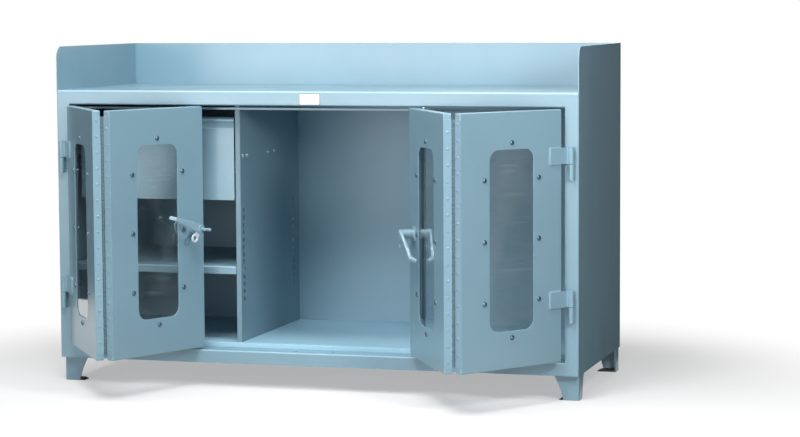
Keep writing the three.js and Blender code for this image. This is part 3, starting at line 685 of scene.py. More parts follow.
class Form:
    """Corners and faces of one piece"""

    def __init__(self):
        self.corners = []
        self.faces = []

    def add(self, corners, faces):
        start = len(self.corners)
        self.corners.extend(Vector(corner) for corner in corners)
        self.faces.extend([start + index for index in face] for face in faces)
        return self

    def face(self, *corners):
        return self.add(corners, [range(len(corners))])

    def join(self, other, matrix=None):
        matrix = matrix or Matrix.Identity(4)
        return self.add([matrix @ corner for corner in other.corners], other.faces)


def loft(loops, ring=False, caps=True):
    """Quads from loop to loop; a ring runs on from the last loop to the first"""
    form = Form()
    size = len(loops[0])
    faces = []
    for row in range(len(loops) if ring else len(loops) - 1):
        first, second = row * size, ((row + 1) % len(loops)) * size
        for place in range(size):
            following = (place + 1) % size
            faces.append((first + place, first + following, second + following, second + place))
    if caps and not ring:
        faces.append(range(size))
        faces.append(range((len(loops) - 1) * size, len(loops) * size))
    return form.add([corner for loop in loops for corner in loop], faces)


def prism(outline, start, end):
    """A flat outline in X and Y, drawn out along Z"""
    return loft([[(x, y, z) for x, y in outline] for z in (start, end)])


def lathe(profile, sides):
    """A profile of radius and height turned about Z; it starts and ends on the axis or is capped"""
    loops = []
    for radius, height in profile:
        turn = [2 * math.pi * side / sides for side in range(sides)]
        loops.append([(radius * math.cos(a), radius * math.sin(a), height) for a in turn])
    return loft(loops)


def arc(centre, radius, start, end, steps):
    """Points of an arc in degrees, both ends included"""
    turns = [math.radians(start + (end - start) * step / steps) for step in range(steps + 1)]
    return [(centre[0] + radius * math.cos(turn), centre[1] + radius * math.sin(turn)) for turn in turns]


def rounded_path(points, radii, steps=5):
    """An open line with each inner corner rounded to its radius"""
    points = [Vector(point) for point in points]
    path = [points[0]]
    for before, corner, after, radius in zip(points, points[1:], points[2:], radii):
        towards, onwards = (before - corner).normalized(), (after - corner).normalized()
        half = towards.angle(onwards) / 2
        reach = radius / math.tan(half)
        centre = corner + (towards + onwards).normalized() * (radius / math.sin(half))
        start, end = corner + towards * reach - centre, corner + onwards * reach - centre
        turn = start.angle(end)
        for step in range(steps + 1):
            part = step / steps
            spread = math.sin(turn)
            path.append(centre + start * (math.sin((1 - part) * turn) / spread)
                        + end * (math.sin(part * turn) / spread))
    path.append(points[-1])
    return path


def rounded_rectangle(width, height, corner, steps=6):
    """Points round a rectangle about its middle, from the middle of its lower left corner"""
    x, y = width / 2 - corner, height / 2 - corner
    corners = [((-x, -y), 180), ((x, -y), 270), ((x, y), 0), ((-x, y), 90)]
    points = []
    for centre, start in corners:
        points.extend(arc(centre, corner, start, start + 90, steps))
    return points[steps // 2:] + points[:steps // 2]


def punched(us, vs, holes):
    """Flat faces over a grid of cells, as points in two axes; holes maps a cell to its hole's loop"""
    form = Form()
    for column, (u0, u1) in enumerate(zip(us, us[1:])):
        for row, (v0, v1) in enumerate(zip(vs, vs[1:])):
            cell = [(u0, v0), (u1, v0), (u1, v1), (u0, v1)]
            hole = holes.get((column, row))
            if hole is None:
                form.face(*[(u, v, 0.0) for u, v in cell])
                continue
            quarter = len(hole) // 4
            for side in range(4):
                rim = [hole[(side * quarter + step) % len(hole)] for step in range(quarter + 1)]
                edge = [cell[side], cell[(side + 1) % 4], *reversed(rim)]
                form.face(*[(u, v, 0.0) for u, v in edge])
    return form


def circle_hole(centre, radius, sides=16):
    turns = [math.radians(225 + 360 * side / sides) for side in range(sides)]
    return [(centre[0] + radius * math.cos(turn), centre[1] + radius * math.sin(turn)) for turn in turns]


def bead(points, radius, pitch=0.0052, lump=0.22, sides=8):
    """A weld bead along a line: a tube whose thickness swells from ripple to ripple"""
    points = [Vector(point) for point in points]
    loops = []
    travelled = 0.0
    step = pitch / 4
    for start, end in zip(points, points[1:]):
        run = end - start
        along = run.normalized()
        side = along.orthogonal().normalized()
        up = along.cross(side)
        rings = max(2, round(run.length / step))
        for ring in range(rings + 1):
            place = ring / rings
            phase = 2 * math.pi * (travelled + run.length * place) / pitch
            ends = min(place, 1 - place) * run.length
            taper = min(1.0, 0.35 + ends / radius)
            swell = radius * taper * (1 + lump * math.cos(phase))
            turns = [2 * math.pi * turn / sides for turn in range(sides)]
            middle = start + run * place
            loops.append([middle + (side * math.cos(t) + up * math.sin(t)) * swell for t in turns])
        travelled += run.length
    return loft(loops)


def drawn_out(path, stations, axis):
    """A line in two axes drawn out along the third through its stations, as an open skin"""
    form = Form()
    for start, end in zip(path, path[1:]):
        for before, after in zip(stations, stations[1:]):
            places = []
            for (u, v), along in ((start, before), (end, before), (end, after), (start, after)):
                ways = {"X": (along, u, v), "Y": (u, along, v), "Z": (u, v, along)}
                places.append(ways[axis])
            form.face(*places)
    return form


def make(name, form, body_name, material, replaces=(), matrix=None, skin=None, outward=None,
         edge=None, smooth=35.0, weighted=False, bends=None, tilt=0.15):
    """A piece from its form. A skin is an open sheet that is thickened away from its outward side."""
    mesh = bpy.data.meshes.new(name)
    matrix = matrix or Matrix.Identity(4)
    mesh.from_pydata([matrix @ corner for corner in form.corners], [], [list(face) for face in form.faces])
    if mesh.validate():
        raise RuntimeError(f"{name} has faulty faces")
    work = bmesh.new()
    work.from_mesh(mesh)
    bmesh.ops.remove_doubles(work, verts=work.verts, dist=1e-6)
    bmesh.ops.recalc_face_normals(work, faces=work.faces)
    widest = max(work.faces, key=lambda face: face.calc_area())
    if outward is not None and widest.normal.dot(matrix.to_3x3() @ Vector(outward)) < 0:
        bmesh.ops.reverse_faces(work, faces=work.faces)
    # Narrow bend faces that face upwards (normal.z above tilt) get the second material, a lighter enamel that
    # paints a highlight on them
    if bends:
        for face in work.faces:
            run = max(side.calc_length() for side in face.edges)
            narrow = face.calc_area() / run < BEND_STEP < BEND_RUN < run
            if narrow and face.normal.z > tilt and abs(face.normal.dot(widest.normal)) < BEND_TURN:
                face.material_index = 1
    work.to_mesh(mesh)
    work.free()
    mesh.shade_smooth()
    piece = bpy.data.objects.new(name, mesh)
    bpy.context.scene.collection.objects.link(piece)
    dress(piece, skin, edge, smooth, weighted)
    mesh.materials.append(material)
    if bends:
        mesh.materials.append(bends)
    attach(piece, body_name)
    if replaces:
        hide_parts(*replaces)
    return piece


def dress(piece, skin=None, edge=None, smooth=35.0, weighted=False):
    """Thickens a skin, breaks the sharp edges and keeps flats looking flat"""
    if skin:
        thick = piece.modifiers.new("thickness", "SOLIDIFY")
        thick.thickness = skin
        thick.offset = -1.0
        thick.use_even_offset = True
    if edge:
        broken = piece.modifiers.new("broken_edges", "BEVEL")
        broken.width = edge
        broken.segments = 2
        broken.limit_method = "ANGLE"
        broken.angle_limit = math.radians(smooth)
    else:
        piece.data.set_sharp_from_angle(angle=math.radians(smooth))
    if edge or weighted:
        flat = piece.modifiers.new("flat_faces", "WEIGHTED_NORMAL")
        flat.keep_sharp = True


def dress_node(name, material, edge=None):
    """A node of the frame that keeps its own shape"""
    node = frame["nodes"][name]
    node.data.materials.clear()
    node.data.materials.append(material)
    if edge:
        weld = node.modifiers.new("joined_corners", "WELD")
        weld.merge_threshold = 1e-6
        dress(node, edge=edge)


# Body of the bench

def rod_stations():
    """Grid lines along the doorway with a cell for each latch rod's hole"""
    half = body().rod_hole * 2
    doorway = END - body().frame_face
    places = [side * body().rod_place + step for side in (-1, 1) for step in (-half, half)]
    return [-doorway, *places, doorway]


def strip_with_rod_holes(start, end, level):
    """The flat of the soffit or the sill, which runs on behind the stiles"""
    sizes = body()
    wall = END - SHEET
    rod_y = FRONT + sizes.rod_depth
    us = [-wall, *rod_stations(), wall]
    vs = [start, rod_y - 2 * sizes.rod_hole, rod_y + 2 * sizes.rod_hole, end]
    holes = {(column, 1): circle_hole((place, rod_y), sizes.rod_hole)
             for column, place in ((2, -sizes.rod_place), (4, sizes.rod_place))}
    return Form().join(punched(us, vs, holes), Matrix.Translation((0, 0, level)))


def frame_end(side):
    """A side panel with its guard, its corner bend and its stile"""
    sizes = body()
    doorway, bend_end = END - sizes.frame_face, END - sizes.corner_bend
    bend_top = WORK_TOP - sizes.top_bend
    header_low = HEADER_BOTTOM + sizes.header_bend
    rail_high = SILL_TOP - sizes.sill_bend
    skin = Form()
    stile = [(doorway, BODY_BOTTOM), (doorway, rail_high), (doorway, header_low), (bend_end, header_low),
             (bend_end, BODY_BOTTOM)]
    skin.face(*[(x, FRONT, z) for x, z in stile])
    corner = arc((bend_end, FRONT + sizes.corner_bend), sizes.corner_bend, 270, 360, 5)
    first, second = corner[:2]
    skin.face((*first, BODY_BOTTOM), (*first, header_low), (*first, bend_top), (*second, bend_top),
              (*second, BODY_BOTTOM))
    skin.join(drawn_out(corner[1:], (BODY_BOTTOM, bend_top), "Z"))
    bend_back = corner[-1][1]
    guard_middle = (FRONT + sizes.guard_corner, GUARD_TOP - sizes.guard_corner)
    guard = arc(guard_middle, sizes.guard_corner, 90, 180, 10)
    panel = [(bend_back, BODY_BOTTOM), (BACK, BODY_BOTTOM), (BACK, GUARD_TOP), *guard, (FRONT, bend_top),
             (bend_back, bend_top)]
    skin.face(*[(END, y, z) for y, z in panel])
    return Form().join(skin, Matrix.Scale(side, 4, (1, 0, 0)))


def build_frame():
    """Side panels, stiles, header, work top, soffit, stop lip, rail and sill as one welded skin"""
    sizes = body()
    doorway, bend_end, wall = END - sizes.frame_face, END - sizes.corner_bend, END - SHEET
    bend_top = WORK_TOP - sizes.top_bend
    header_low = HEADER_BOTTOM + sizes.header_bend
    rail_high = SILL_TOP - sizes.sill_bend
    stations = rod_stations()
    wide = [-wall, *stations, wall]
    skin = Form().join(frame_end(-1)).join(frame_end(1))

    header = [(-bend_end, header_low), *[(x, header_low) for x in stations], (bend_end, header_low),
              (bend_end, bend_top), (-bend_end, bend_top)]
    skin.face(*[(x, FRONT, z) for x, z in header])
    brow = arc((FRONT + sizes.top_bend, bend_top), sizes.top_bend, 180, 90, 6)
    skin.join(drawn_out(brow, (-bend_end, bend_end), "X"))
    top_front = [(x, brow[-1][0], WORK_TOP) for x in (-wall, -bend_end, bend_end, wall)]
    skin.face(*top_front, (wall, BACK - SHEET, WORK_TOP), (-wall, BACK - SHEET, WORK_TOP))

    under = arc((FRONT + sizes.header_bend, header_low), sizes.header_bend, 180, 270, 5)
    skin.join(drawn_out(under, stations, "X"))
    lip_bend = sizes.fold_bend
    skin.join(strip_with_rod_holes(under[-1][0], LIP_FRONT - lip_bend, HEADER_BOTTOM))
    drop = arc((LIP_FRONT - lip_bend, HEADER_BOTTOM - lip_bend), lip_bend, 90, 0, 5)
    skin.join(drawn_out(drop, wide, "X"))

    rail = [(x, rail_high) for x in stations] + [(doorway, BODY_BOTTOM), (-doorway, BODY_BOTTOM)]
    skin.face(*[(x, FRONT, z) for x, z in rail])
    sill = arc((FRONT + sizes.sill_bend, rail_high), sizes.sill_bend, 180, 90, 5)
    skin.join(drawn_out(sill, stations, "X"))
    skin.join(strip_with_rod_holes(sill[-1][0], RECESS + SHEET, SILL_TOP))

    make("cabinet_frame", skin, "cabinet", frame_paint(),
         ("left_side_panel", "right_side_panel", "work_top", "soffit_panel", "stop_lip", "bottom_rail"),
         skin=SHEET, outward=(0, 0, 1), edge=sizes.edge_break, bends=bend_highlight_paint())
    lip_back, lip_top = LIP_FRONT + SHEET, LIP_BOTTOM + sizes.lip_height
    outline = [(LIP_FRONT, LIP_BOTTOM), (lip_back, LIP_BOTTOM), (lip_back, lip_top), (LIP_FRONT, lip_top)]
    across = Matrix(((0, 0, 1, 0), (1, 0, 0, 0), (0, 1, 0, 0), (0, 0, 0, 1)))
    make("stop_lip_strip", prism(outline, -wall, wall), "cabinet", frame_paint(),
         matrix=across,
         edge=sizes.edge_break)


class WORKBENCH_OT_frame(bpy.types.Operator):
    """Build the welded frame: side panels, stiles, header, work top and bottom rail"""
    bl_idname = "workbench.frame"
    bl_label = "Frame"

    def execute(self, context):
        build_frame()
        return {"FINISHED"}


def build_back():
    """The back panel, with the plug welds that hold it to the divider, the floor and the work top"""
    sizes = body()
    wall = END - SHEET
    rise = 0.0012
    outer = BACK - rise
    plate = rounded_rectangle(2 * wall, GUARD_TOP - BODY_BOTTOM, 0.001, 2)
    middle = Matrix.Translation((0, outer, (GUARD_TOP + BODY_BOTTOM) / 2))
    upright = middle @ Matrix.Rotation(math.pi / 2, 4, "X")
    form = Form().join(prism(plate, 0, SHEET - rise), upright)
    plug = lathe([(0.0004, rise), (0.007, rise * 0.8), (0.010, rise * 0.3), (0.011, 0.0), (0.011, -rise)], 24)
    outwards = Matrix.Rotation(-math.pi / 2, 4, "X")
    spacing = 0.14
    rows = int(2 * wall / spacing)
    places = [(-wall + spacing * (step + 0.5), level)
              for level in (FLOOR_TOP - SHEET / 2, WORK_TOP - SHEET / 2) for step in range(rows)]
    columns = int((WORK_TOP - FLOOR_TOP) / spacing)
    places += [(DIVIDER_RIGHT - SHEET / 2, FLOOR_TOP + spacing * (step + 0.5)) for step in range(columns)]
    for x, z in places:
        form.join(plug, Matrix.Translation((x, outer, z)) @ outwards)
    make("back_sheet", form, "cabinet", back_paint(), ("back_panel",),
         edge=sizes.edge_break / 3)


class WORKBENCH_OT_back(bpy.types.Operator):
    """Build the back panel with its plug welds"""
    bl_idname = "workbench.back"
    bl_label = "Back"

    def execute(self, context):
        build_back()
        return {"FINISHED"}


def build_floor():
    """The cabinet floor, folded down to the sill at its front"""
    sizes = body()
    front = low("floor_panel").y
    path = rounded_path([(front, SILL_TOP), (front, FLOOR_TOP), (BACK - SHEET, FLOOR_TOP)],
                        [sizes.floor_bend])
    make("cabinet_floor", drawn_out(path, (low("floor_panel").x, high("floor_panel").x), "X"), "cabinet",
         floor_painted_light_paint(), ("floor_panel",), skin=SHEET, outward=(0, 0, 1),
         edge=sizes.edge_break, bends=bend_highlight_paint())


class WORKBENCH_OT_floor(bpy.types.Operator):
    """Build the cabinet floor"""
    bl_idname = "workbench.floor"
    bl_label = "Cabinet Floor"

    def execute(self, context):
        build_floor()
        return {"FINISHED"}


def build_divider():
    """The divider with its two columns of slots and its front flange"""
    sizes = body()
    front, rear = low("divider_panel").y, high("divider_panel").y
    bottom, top = low("divider_panel").z, high("divider_panel").z
    columns = [front + sizes.slot_front, rear - sizes.slot_rear]
    half = sizes.slot_width / 2 + sizes.slot_corner
    bend = sizes.fold_bend
    us = [front + bend, *[column + step for column in columns for step in (-half, half)], rear]
    first = BODY_BOTTOM + sizes.slot_start - sizes.slot_pitch / 2
    vs = [bottom, *[first + sizes.slot_pitch * row for row in range(sizes.slot_rows + 1)], top]
    slot = rounded_rectangle(sizes.slot_width, sizes.slot_height, sizes.slot_corner, 4)
    holes = {}
    for column, y in ((1, columns[0]), (3, columns[1])):
        for row in range(sizes.slot_rows):
            level = first + sizes.slot_pitch * (row + 0.5)
            holes[(column, row + 1)] = [(y + u, level + v) for u, v in slot]
    upright = Matrix(((0, 0, 1, DIVIDER_RIGHT), (1, 0, 0, 0), (0, 1, 0, 0), (0, 0, 0, 1)))
    skin = Form().join(punched(us, vs, holes), upright)
    fold = arc((DIVIDER_RIGHT - bend, front + bend), bend, 0, -90, 5)
    skin.join(drawn_out([*fold, (low("divider_panel").x, front)], vs, "Z"))
    make("slotted_divider", skin, "cabinet", divider_shaded_paint(), ("divider_panel",), skin=SHEET,
         outward=(1, 0, 0), edge=sizes.edge_break / 2)


class WORKBENCH_OT_divider(bpy.types.Operator):
    """Build the slotted divider"""
    bl_idname = "workbench.divider"
    bl_label = "Divider"

    def execute(self, context):
        build_divider()
        return {"FINISHED"}


def build_plate():
    """The blank plate on the header: a white face on a slightly larger dark backing, whose rim paints a
    shadow round the face
    """
    bottom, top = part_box("name_plate")
    width, height, rise = top.x - bottom.x, top.z - bottom.z, top.y - bottom.y
    middle = Matrix.Translation(((top.x + bottom.x) / 2, top.y, (top.z + bottom.z) / 2))
    outwards = middle @ Matrix.Rotation(math.pi / 2, 4, "X")
    rim = 0.0012

    def layer(inset, level):
        outline = rounded_rectangle(width - 2 * inset, height - 2 * inset, 0.003)
        return [(x, y, level) for x, y in outline]

    backing = loft([layer(0, 0), layer(0, 0.3 * rise), layer(0.3 * rise, 0.5 * rise)])
    face = loft([layer(rim, 0.3 * rise), layer(rim, 0.8 * rise), layer(rim + 0.2 * rise, rise)])
    make("plate_shadow_backing", backing, "cabinet", plate_shadow_backing(), matrix=outwards)
    make("plate_face", face, "cabinet", plate_white(), ("name_plate",), matrix=outwards)


class WORKBENCH_OT_plate(bpy.types.Operator):
    """Build the blank plate on the header"""
    bl_idname = "workbench.plate"
    bl_label = "Blank Plate"

    def execute(self, context):
        build_plate()
        return {"FINISHED"}


def leg_edge(foot, wide, pad, top, hollow):
    """The hollow inner edge of a leg's plate from the pad up to the body, then the welded tab"""
    steps = 8
    bend = ((foot + wide) / 2 - 2 * hollow, (pad + BODY_BOTTOM) / 2)
    edge = []
    for step in range(steps + 1):
        part = step / steps
        weights = ((1 - part) ** 2, 2 * part * (1 - part), part ** 2)
        across = weights[0] * foot + weights[1] * bend[0] + weights[2] * wide
        up = weights[0] * pad + weights[1] * bend[1] + weights[2] * BODY_BOTTOM
        edge.append((across, up))
    return [*edge, (wide, top)]


def build_leg(name, side, end):
    """A bent leg in its corner of the body, with the pad that it stands on"""
    sizes = body()
    bottom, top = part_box(name)
    corner = Vector((bottom.x if side < 0 else top.x, bottom.y if end < 0 else top.y, 0))
    inwards = Matrix.Translation(corner) @ Matrix.Diagonal((-side, -end, 1, 1))
    plate, bend, foot = sizes.leg_plate, sizes.leg_bend, doors().play
    skin = Form()
    across = leg_edge(sizes.leg_foot_width, sizes.leg_width, foot, top.z, sizes.leg_hollow)
    along = leg_edge(sizes.leg_foot_depth, sizes.leg_depth, foot, top.z, sizes.leg_hollow)
    skin.face((bend, 0, foot), *[(x, 0, z) for x, z in across], (bend, 0, top.z))
    skin.face((0, bend, foot), *[(0, y, z) for y, z in along], (0, bend, top.z))
    skin.join(drawn_out(arc((bend, bend), bend, 270, 180, 6), (foot, top.z), "Z"))
    make(f"{name}_plate", skin, "cabinet", leg_paint(), (name,), matrix=inwards,
         skin=plate, outward=(0, -1, 0), edge=sizes.edge_break)

    pad, toe = sizes.leg_pad, sizes.leg_foot_width + sizes.leg_toe
    start, rear = plate + foot, sizes.leg_foot_depth - plate
    corner = 0.003
    layers = [(toe - 0.001, 0.0), (toe, 0.001), (toe - 0.002, pad * 0.4), (toe - sizes.leg_toe * 0.8, pad)]
    loops = []
    for end_x, level in layers:
        outline = rounded_rectangle(end_x - start, rear - start, corner)
        loops.append([(x + (start + end_x) / 2, y + (start + rear) / 2, level) for x, y in outline])
    make(f"{name}_pad", loft(loops), "cabinet", pad_rubber(), matrix=inwards)


class WORKBENCH_OT_legs(bpy.types.Operator):
    """Build the four legs and their pads"""
    bl_idname = "workbench.legs"
    bl_label = "Legs"

    def execute(self, context):
        for across, side in (("left", -1), ("right", 1)):
            for along, end in (("front", -1), ("rear", 1)):
                build_leg(f"{along}_{across}_leg", side, end)
        return {"FINISHED"}


def build_shelf():
    """The shelf with its front and rear folds, on two folded brackets"""
    sizes = body()
    bottom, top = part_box("shelf")
    folds = [(bottom.y, bottom.z), (bottom.y, top.z), (top.y, top.z), (top.y, bottom.z)]
    path = rounded_path(folds, [sizes.fold_bend] * 2)
    make("folded_shelf", drawn_out(path, (bottom.x, top.x), "X"), "cabinet", inside_paint(),
         ("shelf",), skin=SHEET, outward=(0, 0, 1), edge=sizes.edge_break, bends=bend_highlight_paint())
    for node, inward in (("shelf_bracket_left", 1), ("shelf_bracket_right", -1)):
        bottom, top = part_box(node)
        wall, reach = (bottom.x, top.x) if inward > 0 else (top.x, bottom.x)
        path = rounded_path([(wall, bottom.z), (wall, top.z), (reach, top.z)], [sizes.fold_bend])
        make(f"{node}_fold", drawn_out(path, (bottom.y, top.y), "Y"), "cabinet",
             inside_paint(),
             (node,), skin=SHEET, outward=(0, 0, 1), edge=sizes.edge_break)


class WORKBENCH_OT_shelf(bpy.types.Operator):
    """Build the shelf and its brackets"""
    bl_idname = "workbench.shelf"
    bl_label = "Shelf"

    def execute(self, context):
        build_shelf()
        return {"FINISHED"}


def build_drawer():
    """The drawer front with its slanted lip; the box and the slides keep the frame's shapes"""
    sizes = body()
    bottom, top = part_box("drawer_front")
    lip, hollow = sizes.drawer_lip, sizes.drawer_hollow
    under = top.z - lip
    folds = [(bottom.y, bottom.z), (bottom.y, under - sizes.drawer_ramp), (bottom.y + hollow, under - hollow),
             (bottom.y, under), (bottom.y, top.z - lip * 0.5), (bottom.y + lip, top.z)]
    path = rounded_path(folds, [0.008, 0.0014, 0.0014, 0.006])
    make("lipped_drawer_front", drawn_out(path, (bottom.x, top.x), "X"), "drawer",
         door_paint(), ("drawer_front",), skin=SHEET, outward=(0, -1, 0), weighted=True, bends=bend_highlight_paint())
    dress_node("drawer_box", inside_paint(), sizes.edge_break)
    for side in SIDES:
        dress_node(f"drawer_rail_{side}", zinc_plate(), sizes.edge_break)
        dress_node(f"drawer_runner_{side}", zinc_plate(), sizes.edge_break)


class WORKBENCH_OT_drawer(bpy.types.Operator):
    """Build the drawer front and finish the drawer's box and slides"""
    bl_idname = "workbench.drawer"
    bl_label = "Drawer"

    def execute(self, context):
        build_drawer()
        return {"FINISHED"}


# Doors

def outer_pose(side):
    """Frame of an outer leaf's hinge pin: X along the leaf, Y to its back, Z up from the floor"""
    sizes = doors()
    sign = SIDES[side]
    hinge = Vector(joint(f"{side}_outer_swing")["pos_m"])
    run = Vector(joint(f"{side}_inner_fold")["pos_m"]) - hinge
    fold_x = sizes.leaf_start + sizes.leaf_width + sizes.fold_gap / 2
    fold_y = sizes.hinge_proud + sizes.leaf_depth + sizes.knuckle_behind
    turn = math.atan2(fold_y, fold_x) - math.atan2(run.y, sign * run.x)
    across = Vector((sign * math.cos(turn), -math.sin(turn), 0))
    inwards = Vector((sign * math.sin(turn), math.cos(turn), 0))
    return axes(across, inwards, Vector((hinge.x, hinge.y, 0)))


def inner_pose(side):
    """Frame of an inner leaf's fold pin, in the same way"""
    pin = Vector(joint(f"{side}_inner_fold")["pos_m"])
    inwards = Vector(joint(f"{side}_handle_turn")["axis"])
    inwards = (inwards if inwards.y > 0 else -inwards).normalized()
    across = SIDES[side] * Vector((inwards.y, -inwards.x, 0))
    return axes(across, inwards, Vector((pin.x, pin.y, 0)))


def axes(across, inwards, origin):
    matrix = Matrix.Identity(4)
    for column, direction in enumerate((across, inwards, Vector((0, 0, 1)), origin)):
        matrix.col[column][:3] = direction
    return matrix


def leaf_pose(side, which):
    """Frame of a leaf: its lower edge nearest the stile, at its front"""
    sizes = doors()
    if which == "outer":
        return outer_pose(side) @ Matrix.Translation((sizes.leaf_start, sizes.hinge_proud, LEAF_BOTTOM))
    back = sizes.knuckle_behind + sizes.leaf_depth
    return inner_pose(side) @ Matrix.Translation((sizes.fold_gap / 2, -back, LEAF_BOTTOM))


def leaf_loop(width, height, corner, depth):
    """A rounded rectangle about the middle of a leaf, at a depth behind its front"""
    x, z = doors().leaf_width / 2, LEAF_HEIGHT / 2
    return [(x + u, depth, z + v) for u, v in rounded_rectangle(width, height, corner, 10)]


def window_size():
    margin = doors().window_margin
    return doors().leaf_width - 2 * margin, LEAF_HEIGHT - 2 * margin


def leaf_form():
    """A folded pan with a window: loops from the window's edge round the folds and back inside"""
    sizes = doors()
    width, height = sizes.leaf_width, LEAF_HEIGHT
    sheet, depth, bend = sizes.leaf_sheet, sizes.leaf_depth, sizes.leaf_bend
    edge = 0.0009
    opening = window_size()
    corner = sizes.window_corner

    def outline(inset, level):
        return leaf_loop(width - 2 * inset, height - 2 * inset, max(0.0006, 0.0035 - inset), level)

    def window(grow, level):
        return leaf_loop(opening[0] + 2 * grow, opening[1] + 2 * grow, corner + grow, level)

    loops = [window(0, sheet - edge), window(0, edge), window(edge, 0)]
    steps = 5
    turns = [math.pi / 2 * step / steps for step in range(steps + 1)]
    loops += [outline(bend * (1 - math.sin(turn)), bend * (1 - math.cos(turn))) for turn in turns]
    loops += [outline(bend * (1 - math.cos(turn)), depth - bend * (1 - math.sin(turn))) for turn in turns]
    lip = sizes.leaf_return
    loops += [outline(lip - edge, depth), outline(lip, depth - edge), outline(lip, depth - sheet)]
    loops += [outline(sheet, depth - sheet), outline(sheet, sheet), window(edge, sheet)]
    return loft(loops, ring=True)


class WORKBENCH_OT_leaves(bpy.types.Operator):
    """Build the four folded door leaves"""
    bl_idname = "workbench.leaves"
    bl_label = "Door Leaves"

    def execute(self, context):
        form = leaf_form()
        for side in SIDES:
            for which in ("outer", "inner"):
                # tilt -0.15 gives the painted-highlight enamel to every leaf bend that does not face down
                make(f"{side}_{which}_folded_leaf", form, f"{side}_{which}_door", door_paint(),
                     (f"{side}_{which}_leaf",), matrix=leaf_pose(side, which), weighted=True,
                     bends=leaf_bend_highlight_paint(), tilt=-0.15)
        return {"FINISHED"}


def bolt_places():
    """Places of a window's bolts on its leaf"""
    sizes = doors()
    x, z = sizes.leaf_width / 2, LEAF_HEIGHT / 2
    side_x = window_size()[0] / 2 + sizes.bolt_offset
    end_z = window_size()[1] / 2 + sizes.bolt_offset
    places = [(x, z - end_z), (x, z + end_z)]
    for row in (-1, 0, 1):
        places += [(x - side_x, z + row * sizes.bolt_spread), (x + side_x, z + row * sizes.bolt_spread)]
    return places


def pane_form(front):
    sizes = doors()
    opening = window_size()
    chamfer = 0.0006
    back = front + sizes.pane_thickness

    def outline(inset, level):
        grow = 2 * (sizes.pane_overlap - inset)
        return leaf_loop(opening[0] + grow, opening[1] + grow, 0.004, level)

    return loft([outline(chamfer, front), outline(0, front + chamfer), outline(0, back - chamfer),
                 outline(chamfer, back)])


def clamp_form(front):
    """The flat frame behind a pane"""
    sizes = doors()
    opening = window_size()
    chamfer = 0.0005
    back = front + sizes.clamp_thickness

    def outline(grow, corner, level):
        return leaf_loop(opening[0] + 2 * grow, opening[1] + 2 * grow, corner, level)

    lap, reach, corner = sizes.clamp_lap, sizes.pane_overlap, sizes.window_corner
    return loft([outline(lap, corner, front), outline(reach, 0.006, front),
                 outline(reach, 0.006, back - chamfer), outline(reach - chamfer, 0.006, back),
                 outline(lap + chamfer, corner, back), outline(lap, corner, back - chamfer)], ring=True)


def bolts_form(back):
    """Domed heads in front of a leaf, with a washer, a nut and a thread end behind the clamp"""
    sizes = doors()
    radius, dome = sizes.bolt_head, sizes.bolt_dome
    crown = [(radius * math.sin(turn), dome * (0.16 + 0.84 * math.cos(turn)))
             for turn in [math.pi / 2 * step / 7 for step in range(8)]]
    head = lathe([(0.0004, crown[0][1]), *crown[1:], (radius, 0.0)], 24)
    washer = lathe([(0.0004, 0.0), (0.0082, 0.0), (0.0085, 0.0004), (0.0085, 0.0009), (0.0082, 0.0013)], 24)
    nut = lathe([(0.0004, 0.0012), (0.0058, 0.0012), (0.0064, 0.0018), (0.0064, 0.0054), (0.0056, 0.0062)], 6)
    thread = lathe([(0.0004, 0.006), (0.0036, 0.006), (0.0036, 0.0082), (0.0029, 0.009)], 16)
    form = Form()
    for x, z in bolt_places():
        form.join(head, Matrix.Translation((x, 0, z)) @ Matrix.Rotation(math.pi / 2, 4, "X"))
        behind = Matrix.Translation((x, back, z)) @ Matrix.Rotation(-math.pi / 2, 4, "X")
        for part in (washer, nut, thread):
            form.join(part, behind)
    return form


class WORKBENCH_OT_windows(bpy.types.Operator):
    """Build the panes, the clamp frames behind them and their bolts"""
    bl_idname = "workbench.windows"
    bl_label = "Windows"

    def execute(self, context):
        sizes = doors()
        front = sizes.leaf_sheet + sizes.play
        clamp_front = front + sizes.pane_thickness + sizes.play
        pane, clamp = pane_form(front), clamp_form(clamp_front)
        bolts = bolts_form(clamp_front + sizes.clamp_thickness)
        for side in SIDES:
            for which in ("outer", "inner"):
                pose = leaf_pose(side, which)
                door = f"{side}_{which}_door"
                make(f"{side}_{which}_window", pane, door, clear_pane(),
                     (f"{side}_{which}_pane",), matrix=pose)
                make(f"{side}_{which}_clamp_frame", clamp, door, door_paint(),
                     (f"{side}_{which}_clamp",), matrix=pose)
                make(f"{side}_{which}_bolts", bolts, door, bolt_enamel(), matrix=pose)
        return {"FINISHED"}


def hinge_leaf_form(low_z, high_z):
    """The upper half of a barrel hinge: a flap on the leaf rolled into a barrel"""
    sizes = doors()
    radius, back = sizes.hinge_radius, sizes.hinge_proud - sizes.play
    front = back - sizes.hinge_plate
    end = sizes.leaf_start + sizes.hinge_flap
    barrel = arc((0, 0), radius, 120, 360, 22)
    outline = [(end, front), (end, back), (0, back), *barrel, (radius, front - 0.002),
               (radius + 0.002, front)]
    form = prism(outline, low_z, high_z)
    cap = lathe([(0.0004, 0.0022), (0.0045, 0.0022), (0.006, 0.0012), (0.0065, 0.0)], 24)
    return form.join(cap, Matrix.Translation((0, 0, high_z - sizes.play)))


def hinge_stile_form(low_z, high_z):
    """The lower half: a barrel on a foot that is welded to the stile"""
    sizes = doors()
    half = sizes.hinge_neck / 2
    turn = math.degrees(math.acos(half / sizes.hinge_radius))
    barrel = arc((0, 0), sizes.hinge_radius, turn, -180 - turn, 24)
    outline = [(-half, sizes.hinge_proud), (half, sizes.hinge_proud), *barrel]
    return prism(outline, low_z, high_z)


